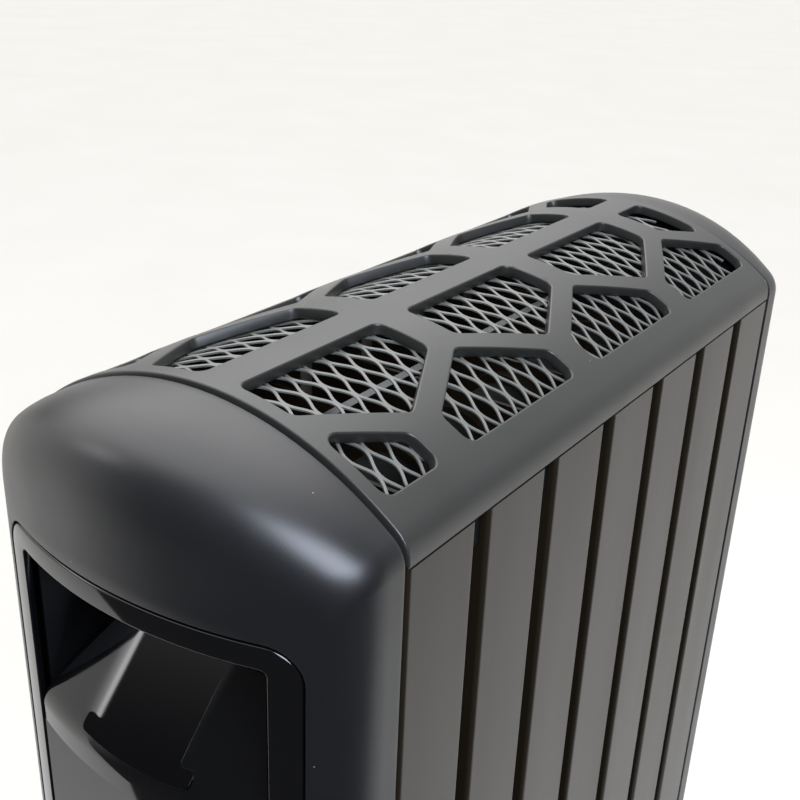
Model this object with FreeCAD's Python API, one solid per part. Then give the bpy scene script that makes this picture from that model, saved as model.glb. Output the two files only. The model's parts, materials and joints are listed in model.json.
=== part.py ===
import FreeCAD, Part
import math
import os

# Oil-filled radiator on casters: seven heating panels between two domed end caps,
# under an arched top cover with a mesh. X runs across, Y from front to rear, Z up.
# The origin is on the floor, at the middle of the footprint. Sizes in millimetres.

# Overall form
HEIGHT = 665.0              # floor to the ridge of the top cover
BODY_WIDTH = 192.5          # across the flat side strips
FIN_COUNT = 7
FIN_PITCH = 55.0
STRIP_WIDTH = 45.3          # flat side strip of one panel, along the length
FRONT_BOW = 51.4            # front seam to the foremost line of the front cap
REAR_BOW = 51.4             # rear seam to the rearmost line of the rear cap
BOW_RADIUS = 208.5          # plan radius of both end caps
CAP_CORNER = 26.0           # plan radius from the bow to the sides
CAP_WALL = 3.0
CAP_BASE = 62.0             # lower rim of the caps, top of the feet
CROWN_DROP = 40.0           # how far the caps' crown falls from the seam to the bow
CROWN_SHOULDER = 5.0        # growth of the shoulder radius along the crown
CROWN_POWER = 0.62          # 1 is a plain quarter round, less is fuller
CROWN_STEPS = (0.0, 2.0, 7.0, 16.0, 28.0, 41.0, 54.0, 66.0, 77.0)     # degrees along its curve
CROWN_OVERRUN = 1.0         # the crown passes the bow by this much
SEAM_GROOVE = 1.6           # shadow groove between caps, panels and top cover
FIT_GAP = 0.4               # gap between fixed neighbours

# Arched roof
ROOF_RISE = 44.0            # side seam to the ridge
ROOF_RADIUS = 152.0
SHOULDER_RADIUS = 14.0
COVER_WALL = 4.5

# Openings of the top cover, in plan
SPINE_HALF = 9.5            # half width of the plain spine
INNER_SIDE = 37.0           # inner opening: end of its straight sides, from the spine's middle
INNER_TIP = 60.0            # inner opening: its outward tip
OUTER_TIP = 44.0            # outer opening: its inward tip
OUTER_SIDE = 67.0           # outer opening: start of its straight sides
OUTER_EDGE = 81.0           # outer opening: its long outer edge
OPENING_HALF = 44.5         # half length of an opening
OPENING_FIRST = 52.3        # front seam to the first inner opening's middle
OPENING_CORNER = 5.0
OPENING_LEAST = 20.0        # shortest cut opening that is kept at the rear
PATTERN_MARGIN = 7.0        # plain band at both ends of the top cover

# Expanded mesh
MESH_SHORT = 11.6           # pitch along the length
MESH_LONG = 25.0            # pitch across the width
MESH_STRAND = 2.4
MESH_SHEET = 1.2
MESH_HALF = 87.0            # half width of the sheet
MESH_MARGIN = 4.0           # expanded area round each opening of the cover

# Heating panels
FIN_BASE = 72.0             # lower end of the strips
FIN_SHEET = 1.5
FIN_EDGE = 2.2              # outer radius of the strips' folds
FIN_RETURN = 14.0           # folded edge of the strips
WEB_SHEET = 2.4
WEB_DROP = 23.0             # side seam to the web's upper end
CHANNEL_COUNT = 5
CHANNEL_PITCH = 34.0
CHANNEL_WIDTH = 22.0
CHANNEL_DEPTH = 11.0
HEADER_DROP = 59.0          # side seam to the upper oil header
HEADER_LOW = 112.0          # height of the lower oil header
BOSS_RADIUS = 29.0
BOSS_DEPTH = 16.0
COLLAR_RADIUS = 24.0
COLLAR_BORE = 20.0
PLUG_DEPTH = 3.0

# Heating element
ROD_RADIUS = 4.0
ROD_SPREAD = 9.0            # rods from the header's middle
ROD_END_GAP = 30.0          # bend of the hairpins to the rear plug
TERMINAL_REACH = 9.0
FLANGE_RADIUS = 28.0
FLANGE_DEPTH = 6.0
GASKET_DEPTH = 1.5

# End plates and rails
PLATE = 2.0
PLATE_FLANGE = 16.0
COVER_RAIL_WIDTH = 5.0
COVER_RAIL_HEIGHT = 18.0
COVER_RAIL_LAP = 1.0        # the cover's rails rise above the side seam by this much
BASE_RAIL_WIDTH = 32.0
BASE_RAIL_HEIGHT = 6.0
TIE_BAR_WIDTH = 5.0
TIE_BAR_DEPTH = 2.5
TIE_BAR_RISE = 4.0          # side seam up to the top of the tie bar

# Control insert
BEZEL_HALF = 78.4
BEZEL_DROP = 23.0           # side seam to the frame's upper edge
BEZEL_RISE = 88.0           # caps' lower rim to the frame's lower edge
BEZEL_CORNER = 14.0
BEZEL_SIDE = 13.0           # width of the frame's legs
BEZEL_BAR = 10.5            # width of the frame's bars
BEZEL_DEPTH = 3.2
BEZEL_FLANGE = 2.0          # depth of the flange behind the cap's wall
BEZEL_LEDGE = 2.5           # reach of that flange
BEZEL_INNER_CORNER = 2.5
PANEL_SETBACK = 1.0
LIP_DROP = 106.0            # side seam to the lower edge of the grip pocket
POCKET_STEP = 1.0
POCKET_WALL = 2.0
POCKET_TAPER = 4.0          # the pocket narrows by this much on each side
POCKET_UNDERCUT = 12.0      # the pocket's ceiling rises by this much behind the hood
TONGUE_SLOPE = 46.8         # degrees
TONGUE_EDGE = 1.0
TONGUE_HALF_FRONT = 63.6
TONGUE_HALF_REAR = 30.0
TONGUE_CROWN = 240.0        # radius across the slope
TONGUE_WALL = 2.6
LENS_HALF = 22.0
LENS_BAND_HALF = 30.0
LENS_BAND = 6.4
LENS_LENGTH = 54.0
LENS_SHEET = 1.5
LENS_RIM = 3.6
LENS_CORNER = 3.0
BOARD = 1.6
CONTROL_BOARD_DROP = 8.0    # below the tongue's crown
CONTROL_BOARD_START = 16.0  # from the lip, along the slope
CONTROL_BOARD_LENGTH = 28.0
CONTROL_BOARD_HALF = 20.0
BOARD_POST = 1.8            # radius of the posts that carry it
DISPLAY_HALF = 15.0
DISPLAY_LENGTH = 18.0
DISPLAY_GAP = 1.0           # window in the tongue, round the display

# Main switch
SWITCH_HEIGHT = 205.0
SWITCH_FLANGE_X = 16.0
SWITCH_FLANGE_Z = 25.0
SWITCH_RIM = 2.0            # width of the rim on the panel
SWITCH_RIM_DEPTH = 0.8
SWITCH_PIVOT = 6.6          # panel face to the rocker's axis
SWITCH_BODY_DEPTH = 20.0
SWITCH_WALL = 1.2
ROCKER_WIDTH = 10.0
ROCKER_REACH = 9.2          # radius swept by the rocker's ends
ROCKER_FACE = 4.2           # pivot to the middle of the rocker's face
ROCKER_DISH = 1.4
ROCKER_TILT = 8.0           # degrees each way from the middle
ROCKER_GAP = 0.35
PIVOT_RADIUS = 1.5

# Boards and small gear behind the front panel
POWER_BOARD_X = 104.0
POWER_BOARD_Z = 130.0
POWER_BOARD_HEIGHT = 360.0
STANDOFF = 8.0
STANDOFF_RADIUS = 3.5
RELAY = (28.0, 15.0, 13.0)
RELAY_PITCH = 40.0
TERMINAL_BLOCK = (46.0, 15.0, 18.0)
TERMINAL_BLOCK_HEIGHT = 245.0
TERMINAL_PITCH = 15.0
TERMINAL_HOLE = 4.0
CUTOUT_RADIUS = 8.0
CUTOUT_DEPTH = 9.0
CUTOUT_OFFSET = 52.0
SENSOR_RADIUS = 3.0
SENSOR_HEIGHT = 26.0
SENSOR_OFFSET = 44.0
TIP_SWITCH = (32.0, 16.0, 22.0)
GLAND_OFFSET = 50.0
GLAND_RADIUS = 8.0
GLAND_COLLAR = 11.0
GLAND_BORE = 4.0
GLAND_LIP = 3.0

# Rear hand grip
REAR_GRIP_HALF = 56.0
REAR_GRIP_DROP = 31.0       # side seam to the slot
REAR_GRIP_SPAN = 34.0
REAR_GRIP_CORNER = 10.0
REAR_GRIP_UNDERCUT = 10.0   # its ceiling rises by this much behind the wall

# Feet
FOOT_LENGTH = 275.0
FOOT_BOW = 420.0
FOOT_SETBACK = 2.0
FOOT_HEIGHT = 18.0
FOOT_END_DROP = 5.0         # fall of the top towards the ends
FOOT_ARCH = 6.0             # rise of the underside between the casters
FOOT_CORNER = 14.0
FOOT_PAD_INSET = 14.75      # body's side to the flat underside round each caster
SCREW_INSET = 8.25          # end of the plates' flange to the foot screws
SCREW_RADIUS = 1.9
SCREW_HEAD = 4.0
SCREW_HEAD_DEPTH = 2.4

# Casters
CASTER_END = 26.5           # swivel axis to the end of the foot
CASTER_INSET = 18.0         # swivel axis to the inner edge of the foot
CASTER_TRAIL = 14.0
CASTER_GAP = 0.6            # yoke to foot
WHEEL_RADIUS = 20.0
WHEEL_WIDTH = 11.5
WHEEL_DISH = 2.0
WHEEL_GAP = 0.5             # wheel to yoke, sideways
HOOD_GAP = 1.2
HOOD_WALL = 1.8
YOKE_WEB = 7.6
YOKE_HUB = 8.0
YOKE_BOSS = 9.0
AXLE_RADIUS = 2.5
AXLE_HEAD = 4.2
AXLE_HEAD_DEPTH = 1.4
STEM_RADIUS = 4.0
STEM_LENGTH = 10.0
STEM_END_GAP = 0.5
RUNNING_GAP = 0.05
PRESS_GAP = 0.01

# Worked out from the sizes above
HALF_WIDTH = BODY_WIDTH / 2
STACK_LENGTH = (FIN_COUNT - 1) * FIN_PITCH + STRIP_WIDTH
FRONT_END = -(FRONT_BOW + STACK_LENGTH + REAR_BOW) / 2
FRONT_SEAM = FRONT_END + FRONT_BOW
REAR_SEAM = FRONT_SEAM + STACK_LENGTH
REAR_END = REAR_SEAM + REAR_BOW
SIDE_SEAM = HEIGHT - ROOF_RISE
FOOT_BASE = CAP_BASE - FOOT_HEIGHT
WEB_TOP = SIDE_SEAM - WEB_DROP
HEADER_TOP = SIDE_SEAM - HEADER_DROP
COVER_RAIL_TOP = SIDE_SEAM + COVER_RAIL_LAP
TIE_BAR_TOP = SIDE_SEAM + TIE_BAR_RISE
BEZEL_TOP = SIDE_SEAM - BEZEL_DROP
BEZEL_BOTTOM = CAP_BASE + BEZEL_RISE
LIP_HEIGHT = SIDE_SEAM - LIP_DROP
REAR_GRIP_HIGH = SIDE_SEAM - REAR_GRIP_DROP
REAR_GRIP_LOW = REAR_GRIP_HIGH - REAR_GRIP_SPAN
PLATE_HALF = HALF_WIDTH - CAP_CORNER        # half length of the end plates' flange
SCREW_OFFSET = PLATE_HALF - SCREW_INSET
CASTER_TRACK = FOOT_LENGTH / 2 - CASTER_END
FRONT_PLATE = FRONT_SEAM - SEAM_GROOVE      # rear face of the front plate
REAR_PLATE = REAR_SEAM + SEAM_GROOVE        # front face of the rear plate
BEZEL_BACK = BEZEL_DEPTH + BEZEL_FLANGE
BEZEL_INNER = BEZEL_HALF - BEZEL_SIDE
FAR = 1000.0                                # reach of cutting tools
UP = FreeCAD.Vector(0, 0, 1)
ACROSS = FreeCAD.Vector(1, 0, 0)
BACK = FreeCAD.Vector(0, 1, 0)


def vec(x, y, z):
    return FreeCAD.Vector(x, y, z)


def box(x, y, z):
    """Box between the two ends given for each axis."""
    return Part.makeBox(x[1] - x[0], y[1] - y[0], z[1] - z[0], vec(x[0], y[0], z[0]))


def round_bar(radius, start, length, direction):
    return Part.makeCylinder(radius, length, start, direction)


def line(a, b):
    return Part.LineSegment(a, b).toShape()


def arc(a, middle, b):
    return Part.Arc(a, middle, b).toShape()


def join(shapes):
    return shapes[0].multiFuse(shapes[1:]).removeSplitter()


def rounded_wire(points, radius):
    """Closed wire through the points, with every corner rounded."""
    edges = []
    ends = []
    count = len(points)
    for i, corner in enumerate(points):
        before = (points[i - 1] - corner).normalize()
        after = (points[(i + 1) % count] - corner).normalize()
        half = before.getAngle(after) / 2
        inward = (before + after).normalize()
        start = corner + before * (radius / math.tan(half))
        end = corner + after * (radius / math.tan(half))
        middle = corner + inward * (radius / math.sin(half) - radius)
        ends.append((start, end))
        edges.append(arc(start, middle, end))
    for i in range(count):
        edges.append(line(ends[i][1], ends[(i + 1) % count][0]))
    return Part.Wire(Part.__sortEdges__(edges))


def prism(wire, direction):
    return Part.Face(wire).extrude(direction)


def polygon_face(points):
    return Part.Face(Part.makePolygon(points + points[:1]))


def polygon_prism(points, direction):
    return polygon_face(points).extrude(direction)


def arch_wire(half, top, base, y, radius, shoulder):
    """Outline of the body seen from the front, at one place along the length."""
    centre = top - radius
    rise = math.sqrt((radius - shoulder) ** 2 - (half - shoulder) ** 2)
    knee = vec(half - shoulder, y, centre + rise)
    out = vec(half - shoulder, 0, rise).normalize()
    meet = knee + out * shoulder
    bend = knee + (out + ACROSS).normalize() * shoulder

    def left(point):
        return vec(-point.x, point.y, point.z)

    low = vec(half, y, base)
    side = vec(half, y, knee.z)
    return Part.Wire([
        line(left(low), low),
        line(low, side),
        arc(side, bend, meet),
        arc(meet, vec(0, y, top), left(meet)),
        arc(left(meet), left(bend), left(side)),
        line(left(side), left(low)),
    ])


def bow_cylinder(end, inward, setback):
    """Upright cylinder whose near side is the bowed face of an end cap."""
    radius = BOW_RADIUS - setback
    return round_bar(radius, vec(0, end + inward * BOW_RADIUS, 0), FAR, UP)


def bow_plan(end, seam, inward, inset):
    """Plan outline of an end cap: bow, rounded corners and straight sides past the seam."""
    half = HALF_WIDTH - inset
    radius = BOW_RADIUS - inset
    corner = CAP_CORNER - inset
    centre = end + inward * BOW_RADIUS
    reach = math.sqrt((radius - corner) ** 2 - (half - corner) ** 2)
    knee = vec(half - corner, centre - inward * reach, 0)
    out = (knee - vec(0, centre, 0)).normalize()
    meet = knee + out * corner
    bend = knee + (out + ACROSS).normalize() * corner
    tip = vec(0, centre - inward * radius, 0)
    side = vec(half, knee.y, 0)
    back = vec(half, seam + inward * CAP_CORNER, 0)

    def left(point):
        return vec(-point.x, point.y, point.z)

    return Part.Wire([
        arc(left(meet), tip, meet),
        arc(meet, bend, side),
        line(side, back),
        line(back, left(back)),
        line(left(back), left(side)),
        arc(left(side), left(bend), left(meet)),
    ])


def cap_solid(end, seam, inward, inset, base):
    """Filled end cap, or its hollow when inset by the wall."""
    depth = abs(end - seam) - SEAM_GROOVE + CROWN_OVERRUN
    reach = depth / math.sin(math.radians(CROWN_STEPS[-1])) ** CROWN_POWER
    sections = []
    for degrees in CROWN_STEPS:
        fall = 1 - math.cos(math.radians(degrees)) ** CROWN_POWER
        y = seam - inward * (SEAM_GROOVE + reach * math.sin(math.radians(degrees)) ** CROWN_POWER)
        sections.append(arch_wire(
            HALF_WIDTH - inset, HEIGHT - CROWN_DROP * fall - inset, base, y,
            ROOF_RADIUS - inset, SHOULDER_RADIUS + CROWN_SHOULDER * fall - inset))
    crown = Part.makeLoft(sections, True, True)
    plan = prism(bow_plan(end, seam, inward, inset), UP * FAR)
    return crown.common(plan)


def cap_shell(end, seam, inward):
    shell = cap_solid(end, seam, inward, 0, CAP_BASE)
    return shell.cut(cap_solid(end, seam, inward, CAP_WALL, CAP_BASE - CAP_WALL))


def front_outline(half, low, high, corner):
    """Rounded upright rectangle as a bar that runs through the front."""
    points = [vec(-half, FRONT_END - FIN_PITCH, low), vec(half, FRONT_END - FIN_PITCH, low),
              vec(half, FRONT_END - FIN_PITCH, high), vec(-half, FRONT_END - FIN_PITCH, high)]
    return prism(rounded_wire(points, corner), BACK * (FRONT_BOW + FIN_PITCH))


def front_layer(start, end):
    """Layer of the bowed front between two depths behind its face."""
    return bow_cylinder(FRONT_END, 1, start).cut(bow_cylinder(FRONT_END, 1, end))


def make_front_cap():
    window = front_outline(BEZEL_HALF, BEZEL_BOTTOM, BEZEL_TOP, BEZEL_CORNER)
    return cap_shell(FRONT_END, FRONT_SEAM, 1).cut(window)


def make_control_bezel():
    inner = front_outline(BEZEL_INNER, BEZEL_BOTTOM + BEZEL_BAR, BEZEL_TOP - BEZEL_BAR,
                          BEZEL_INNER_CORNER)
    face = front_outline(BEZEL_HALF - FIT_GAP, BEZEL_BOTTOM + FIT_GAP, BEZEL_TOP - FIT_GAP,
                         BEZEL_CORNER - FIT_GAP)
    flange = front_outline(BEZEL_HALF + BEZEL_LEDGE, BEZEL_BOTTOM - BEZEL_LEDGE,
                           BEZEL_TOP + BEZEL_LEDGE, BEZEL_CORNER + BEZEL_LEDGE)
    seat = front_outline(BEZEL_INNER - BEZEL_LEDGE, BEZEL_BOTTOM + BEZEL_BAR + BEZEL_LEDGE,
                         LIP_HEIGHT + BEZEL_INNER_CORNER, BEZEL_INNER_CORNER)
    above = box((-FAR, FAR), (-FAR, FAR), (LIP_HEIGHT, FAR))
    front = face.cut(inner).common(front_layer(0, BEZEL_DEPTH))
    back = flange.cut(seat).cut(inner.common(above)).common(front_layer(BEZEL_DEPTH, BEZEL_BACK))
    return join([front, back])


def make_front_panel():
    sheet = front_outline(BEZEL_INNER - FIT_GAP, BEZEL_BOTTOM + BEZEL_BAR + FIT_GAP,
                          BEZEL_TOP, BEZEL_INNER_CORNER - FIT_GAP)
    below = box((-FAR, FAR), (-FAR, FAR), (0, LIP_HEIGHT))
    hole = box((-SWITCH_FLANGE_X / 2 + SWITCH_RIM, SWITCH_FLANGE_X / 2 - SWITCH_RIM),
               (FRONT_END, FRONT_SEAM),
               (SWITCH_HEIGHT - SWITCH_FLANGE_Z / 2 + SWITCH_RIM,
                SWITCH_HEIGHT + SWITCH_FLANGE_Z / 2 - SWITCH_RIM))
    return sheet.common(below).common(front_layer(PANEL_SETBACK, BEZEL_DEPTH)).cut(hole)


def tub(mouth, floor_y, half, low, high, taper, undercut):
    """Filled tub between its mouth and its floor, wider and lower at the mouth."""
    def rectangle(y, side, bottom, top):
        return Part.makePolygon([vec(-side, y, bottom), vec(side, y, bottom), vec(side, y, top),
                                 vec(-side, y, top), vec(-side, y, bottom)])
    return Part.makeLoft([rectangle(mouth, half, low, high),
                          rectangle(floor_y, half - taper, low, high + undercut)], True, True)


def make_grip_pocket():
    half = BEZEL_INNER - POCKET_STEP
    high = BEZEL_TOP - BEZEL_BAR - POCKET_STEP
    floor_y = FRONT_PLATE - PLATE
    outer = tub(FRONT_END, floor_y, half + POCKET_WALL, LIP_HEIGHT - POCKET_WALL,
                high + POCKET_WALL, POCKET_TAPER, POCKET_UNDERCUT)
    inner = tub(FRONT_END, floor_y - POCKET_WALL, half, LIP_HEIGHT, high,
                POCKET_TAPER, POCKET_UNDERCUT)
    return outer.cut(inner).common(bow_cylinder(FRONT_END, 1, BEZEL_BACK + FIT_GAP / 2))


def on_slope(shape):
    """Places a shape drawn on the flat, lip at Y = 0, onto the pocket's slope."""
    placed = shape.copy()
    placed.rotate(vec(0, 0, 0), ACROSS, TONGUE_SLOPE)
    placed.translate(vec(0, FRONT_END + PANEL_SETBACK, LIP_HEIGHT + TONGUE_EDGE))
    return placed


def crown_bar(drop):
    """Round bar along the slope whose top is the tongue's crowned surface, or below it."""
    bar = round_bar(TONGUE_CROWN - drop, vec(0, -FAR / 2, -TONGUE_CROWN), FAR, BACK)
    return on_slope(bar)


def tongue_wedge(inset):
    front = FRONT_END + inset
    back = FRONT_PLATE - PLATE - POCKET_WALL - inset - FIT_GAP
    wide = TONGUE_HALF_FRONT - inset
    narrow = TONGUE_HALF_REAR - inset
    base = LIP_HEIGHT - inset
    plan = [vec(-wide, front, base), vec(wide, front, base), vec(narrow, back, base),
            vec(-narrow, back, base)]
    wedge = polygon_prism(plan, UP * (BEZEL_TOP - base))
    return wedge.common(crown_bar(inset)).common(bow_cylinder(FRONT_END, 1, PANEL_SETBACK + inset))


def lens_outline(grow, depth):
    """T-shaped bar square to the slope: narrow window above a wide front band."""
    half = LENS_HALF + grow
    band_half = LENS_BAND_HALF + grow
    low = LENS_RIM - grow
    band = LENS_RIM + LENS_BAND + grow
    high = LENS_RIM + LENS_LENGTH + grow
    window = [vec(-half, low, -depth), vec(half, low, -depth), vec(half, high, -depth),
              vec(-half, high, -depth)]
    front = [vec(-band_half, low, -depth), vec(band_half, low, -depth),
             vec(band_half, band, -depth), vec(-band_half, band, -depth)]
    bars = [prism(rounded_wire(points, LENS_CORNER), UP * 2 * depth) for points in (window, front)]
    return on_slope(join(bars))


def board_middle():
    """Middle of the control board and the display, along the slope."""
    return CONTROL_BOARD_START + CONTROL_BOARD_LENGTH / 2


def make_display_fascia():
    shell = tongue_wedge(0).cut(tongue_wedge(TONGUE_WALL))
    seat = lens_outline(FIT_GAP / 2, LENS_HALF).cut(crown_bar(LENS_SHEET + FIT_GAP / 2))
    half = DISPLAY_HALF + DISPLAY_GAP
    reach = DISPLAY_LENGTH / 2 + DISPLAY_GAP
    window = on_slope(box((-half, half), (board_middle() - reach, board_middle() + reach),
                          (-CONTROL_BOARD_DROP, CONTROL_BOARD_DROP)))
    posts = []
    fall = CONTROL_BOARD_HALF ** 2 / (2 * TONGUE_CROWN)
    length = CONTROL_BOARD_DROP - LENS_SHEET - fall - FIT_GAP
    for x in (BOARD_POST - CONTROL_BOARD_HALF, CONTROL_BOARD_HALF - BOARD_POST):
        foot = vec(x, board_middle(), -CONTROL_BOARD_DROP)
        posts.append(on_slope(round_bar(BOARD_POST, foot, length, UP)))
    return join([shell.cut(seat).cut(window)] + posts)


def make_display_lens():
    layer = crown_bar(0).cut(crown_bar(LENS_SHEET))
    return lens_outline(0, LENS_HALF).common(layer)


def make_control_board():
    start = CONTROL_BOARD_START
    top = -CONTROL_BOARD_DROP
    return on_slope(box((-CONTROL_BOARD_HALF, CONTROL_BOARD_HALF),
                        (start, start + CONTROL_BOARD_LENGTH), (top - BOARD, top)))


def make_display_module():
    half = DISPLAY_LENGTH / 2
    fall = DISPLAY_HALF ** 2 / (2 * TONGUE_CROWN)
    return on_slope(box((-DISPLAY_HALF, DISPLAY_HALF), (board_middle() - half, board_middle() + half),
                        (-CONTROL_BOARD_DROP, -LENS_SHEET - fall - FIT_GAP)))


def make_rear_cap():
    mouth = box((-REAR_GRIP_HALF, REAR_GRIP_HALF), (REAR_SEAM, REAR_END + CAP_WALL),
                (REAR_GRIP_LOW, REAR_GRIP_HIGH))
    through = [edge for edge in mouth.Edges if edge.BoundBox.YLength > CAP_WALL]
    slot = mouth.makeFillet(REAR_GRIP_CORNER, through)
    return cap_shell(REAR_END, REAR_SEAM, -1).cut(slot)


def make_rear_grip():
    floor_y = REAR_PLATE + PLATE
    outer = tub(REAR_END, floor_y, REAR_GRIP_HALF + POCKET_WALL, REAR_GRIP_LOW - POCKET_WALL,
                REAR_GRIP_HIGH + POCKET_WALL, POCKET_TAPER, REAR_GRIP_UNDERCUT)
    inner = tub(REAR_END, floor_y + POCKET_WALL, REAR_GRIP_HALF, REAR_GRIP_LOW, REAR_GRIP_HIGH,
                POCKET_TAPER, REAR_GRIP_UNDERCUT)
    return outer.cut(inner).common(bow_cylinder(REAR_END, -1, CAP_WALL + FIT_GAP))


def clip(points, limit, keep):
    """Cuts a plan polygon at one place along the length, keeping the side given by keep."""
    kept = []
    for i, a in enumerate(points):
        b = points[(i + 1) % len(points)]
        inside = keep * (a.y - limit) >= 0
        if inside:
            kept.append(a)
        if inside != (keep * (b.y - limit) >= 0):
            share = (limit - a.y) / (b.y - a.y)
            kept.append(a + (b - a) * share)
    return kept


def opening_outline(middle, inner, grow):
    """Plan polygon of one opening on the right-hand side, cut at the ends of the cover."""
    half = OPENING_HALF + grow
    if inner:
        points = [vec(SPINE_HALF - grow, middle - half, 0), vec(INNER_SIDE + grow, middle - half, 0),
                  vec(INNER_TIP + grow, middle, 0), vec(INNER_SIDE + grow, middle + half, 0),
                  vec(SPINE_HALF - grow, middle + half, 0)]
    else:
        points = [vec(OUTER_EDGE + grow, middle - half, 0), vec(OUTER_EDGE + grow, middle + half, 0),
                  vec(OUTER_SIDE - grow, middle + half, 0), vec(OUTER_TIP - grow, middle, 0),
                  vec(OUTER_SIDE - grow, middle - half, 0)]
    first = FRONT_SEAM + PATTERN_MARGIN - grow
    last = REAR_SEAM - PATTERN_MARGIN + grow
    return clip(clip(points, first, 1), last, -1)


def opening_outlines(grow):
    """All openings of the right-hand side, in two rows one panel apart."""
    outlines = []
    middle = FRONT_SEAM + OPENING_FIRST - FIN_PITCH
    inner = False
    while middle - OPENING_HALF < REAR_SEAM - PATTERN_MARGIN - OPENING_LEAST:
        outlines.append(opening_outline(middle, inner, grow))
        inner = not inner
        middle += FIN_PITCH
    return outlines


def roof_bar(offset, base):
    """Filled bar under the roof, inset all round, between the two cap seams."""
    outline = arch_wire(HALF_WIDTH - offset, HEIGHT - offset, base, FRONT_SEAM, ROOF_RADIUS - offset,
                        SHOULDER_RADIUS - offset)
    return prism(outline, BACK * STACK_LENGTH)


def make_top_cover():
    cover = roof_bar(0, SIDE_SEAM).cut(roof_bar(COVER_WALL, SIDE_SEAM - COVER_WALL))
    cuts = []
    for points in opening_outlines(0):
        right = prism(rounded_wire(points, OPENING_CORNER), UP * FAR)
        cuts += [right, right.mirror(vec(0, 0, 0), ACROSS)]
    return cover.cut(Part.makeCompound(cuts))


def inside(point, polygon):
    """True where a plan point lies in a convex polygon, whichever way it runs."""
    turns = []
    for i, a in enumerate(polygon):
        b = polygon[(i + 1) % len(polygon)]
        turns.append((b.x - a.x) * (point.y - a.y) - (b.y - a.y) * (point.x - a.x) > 0)
    return all(turns) or not any(turns)


def mesh_rows():
    """Lozenge middles along the length for each row of the mesh, only where the cover is open."""
    areas = opening_outlines(MESH_MARGIN)
    count = int((MESH_HALF - MESH_LONG / 2 + MESH_STRAND) / (MESH_LONG / 2))
    columns = int((STACK_LENGTH - PATTERN_MARGIN) / MESH_SHORT) - 1
    rows = {}
    for row in range(-count, count + 1):
        x = row * MESH_LONG / 2
        first = FRONT_SEAM + PATTERN_MARGIN / 2 + MESH_SHORT * (1 + row % 2) / 2
        middles = [first + column * MESH_SHORT for column in range(columns)]
        rows[x] = [y for y in middles if any(inside(vec(abs(x), y, 0), area) for area in areas)]
    return rows


def make_top_mesh():
    """Sheet expanded where the cover is open: staggered lozenges, long way across.
    It is bent along the rows' middles, so each strip between two rows is flat."""
    start = FRONT_SEAM + PATTERN_MARGIN / 2
    end = REAR_SEAM - PATTERN_MARGIN / 2
    notch = MESH_LONG / 2 - MESH_STRAND
    half = (MESH_SHORT - MESH_STRAND) / 2
    rows = {-MESH_HALF: [], MESH_HALF: []}
    rows.update(mesh_rows())
    lines = sorted(rows)
    radius = ROOF_RADIUS - COVER_WALL
    drop = UP * MESH_SHEET

    def height(x):
        return HEIGHT - ROOF_RADIUS + math.sqrt(radius ** 2 - x ** 2)

    def edge_points(x, other):
        """One long edge of a strip, notched by the lozenges of its row."""
        slope = (height(other) - height(x)) / (other - x)
        inward = math.copysign(notch, other - x)
        points = [vec(x, start, height(x))]
        for y in rows[x]:
            points += [vec(x, y - half, height(x)), vec(x + inward, y, height(x) + slope * inward),
                       vec(x, y + half, height(x))]
        return points + [vec(x, end, height(x))]

    faces = []
    for left, right in zip(lines[:-1], lines[1:]):
        outline = edge_points(left, right) + edge_points(right, left)[::-1]
        top = polygon_face(outline)
        faces += [top, top.translated(drop * -1)]
        for a, b in zip(outline, outline[1:] + outline[:1]):
            shared = abs(a.x - b.x) < PRESS_GAP and abs(a.x) < MESH_HALF - PRESS_GAP
            if not shared:
                faces.append(polygon_face([a, b, b - drop, a - drop]))
    sheet = Part.makeCompound(faces)
    sheet.sewShape()
    return Part.Solid(sheet.Shells[0])


def fin_middle(index):
    return FRONT_SEAM + STRIP_WIDTH / 2 + index * FIN_PITCH


def strip_bar(inset):
    """Filled right-hand strip about Y = 0 with rounded outer edges, or its hollow when inset."""
    half = STRIP_WIDTH / 2 - inset
    face = HALF_WIDTH - inset
    edge = FIN_EDGE - inset
    bend = edge * (1 - math.sqrt(0.5))
    back = HALF_WIDTH - FIN_RETURN - inset
    outline = Part.Wire([
        line(vec(back, -half, FIN_BASE), vec(face - edge, -half, FIN_BASE)),
        arc(vec(face - edge, -half, FIN_BASE), vec(face - bend, bend - half, FIN_BASE),
            vec(face, edge - half, FIN_BASE)),
        line(vec(face, edge - half, FIN_BASE), vec(face, half - edge, FIN_BASE)),
        arc(vec(face, half - edge, FIN_BASE), vec(face - bend, half - bend, FIN_BASE),
            vec(face - edge, half, FIN_BASE)),
        line(vec(face - edge, half, FIN_BASE), vec(back, half, FIN_BASE)),
        line(vec(back, half, FIN_BASE), vec(back, -half, FIN_BASE)),
    ])
    return prism(outline, UP * (SIDE_SEAM - FIT_GAP - FIN_BASE))


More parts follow.
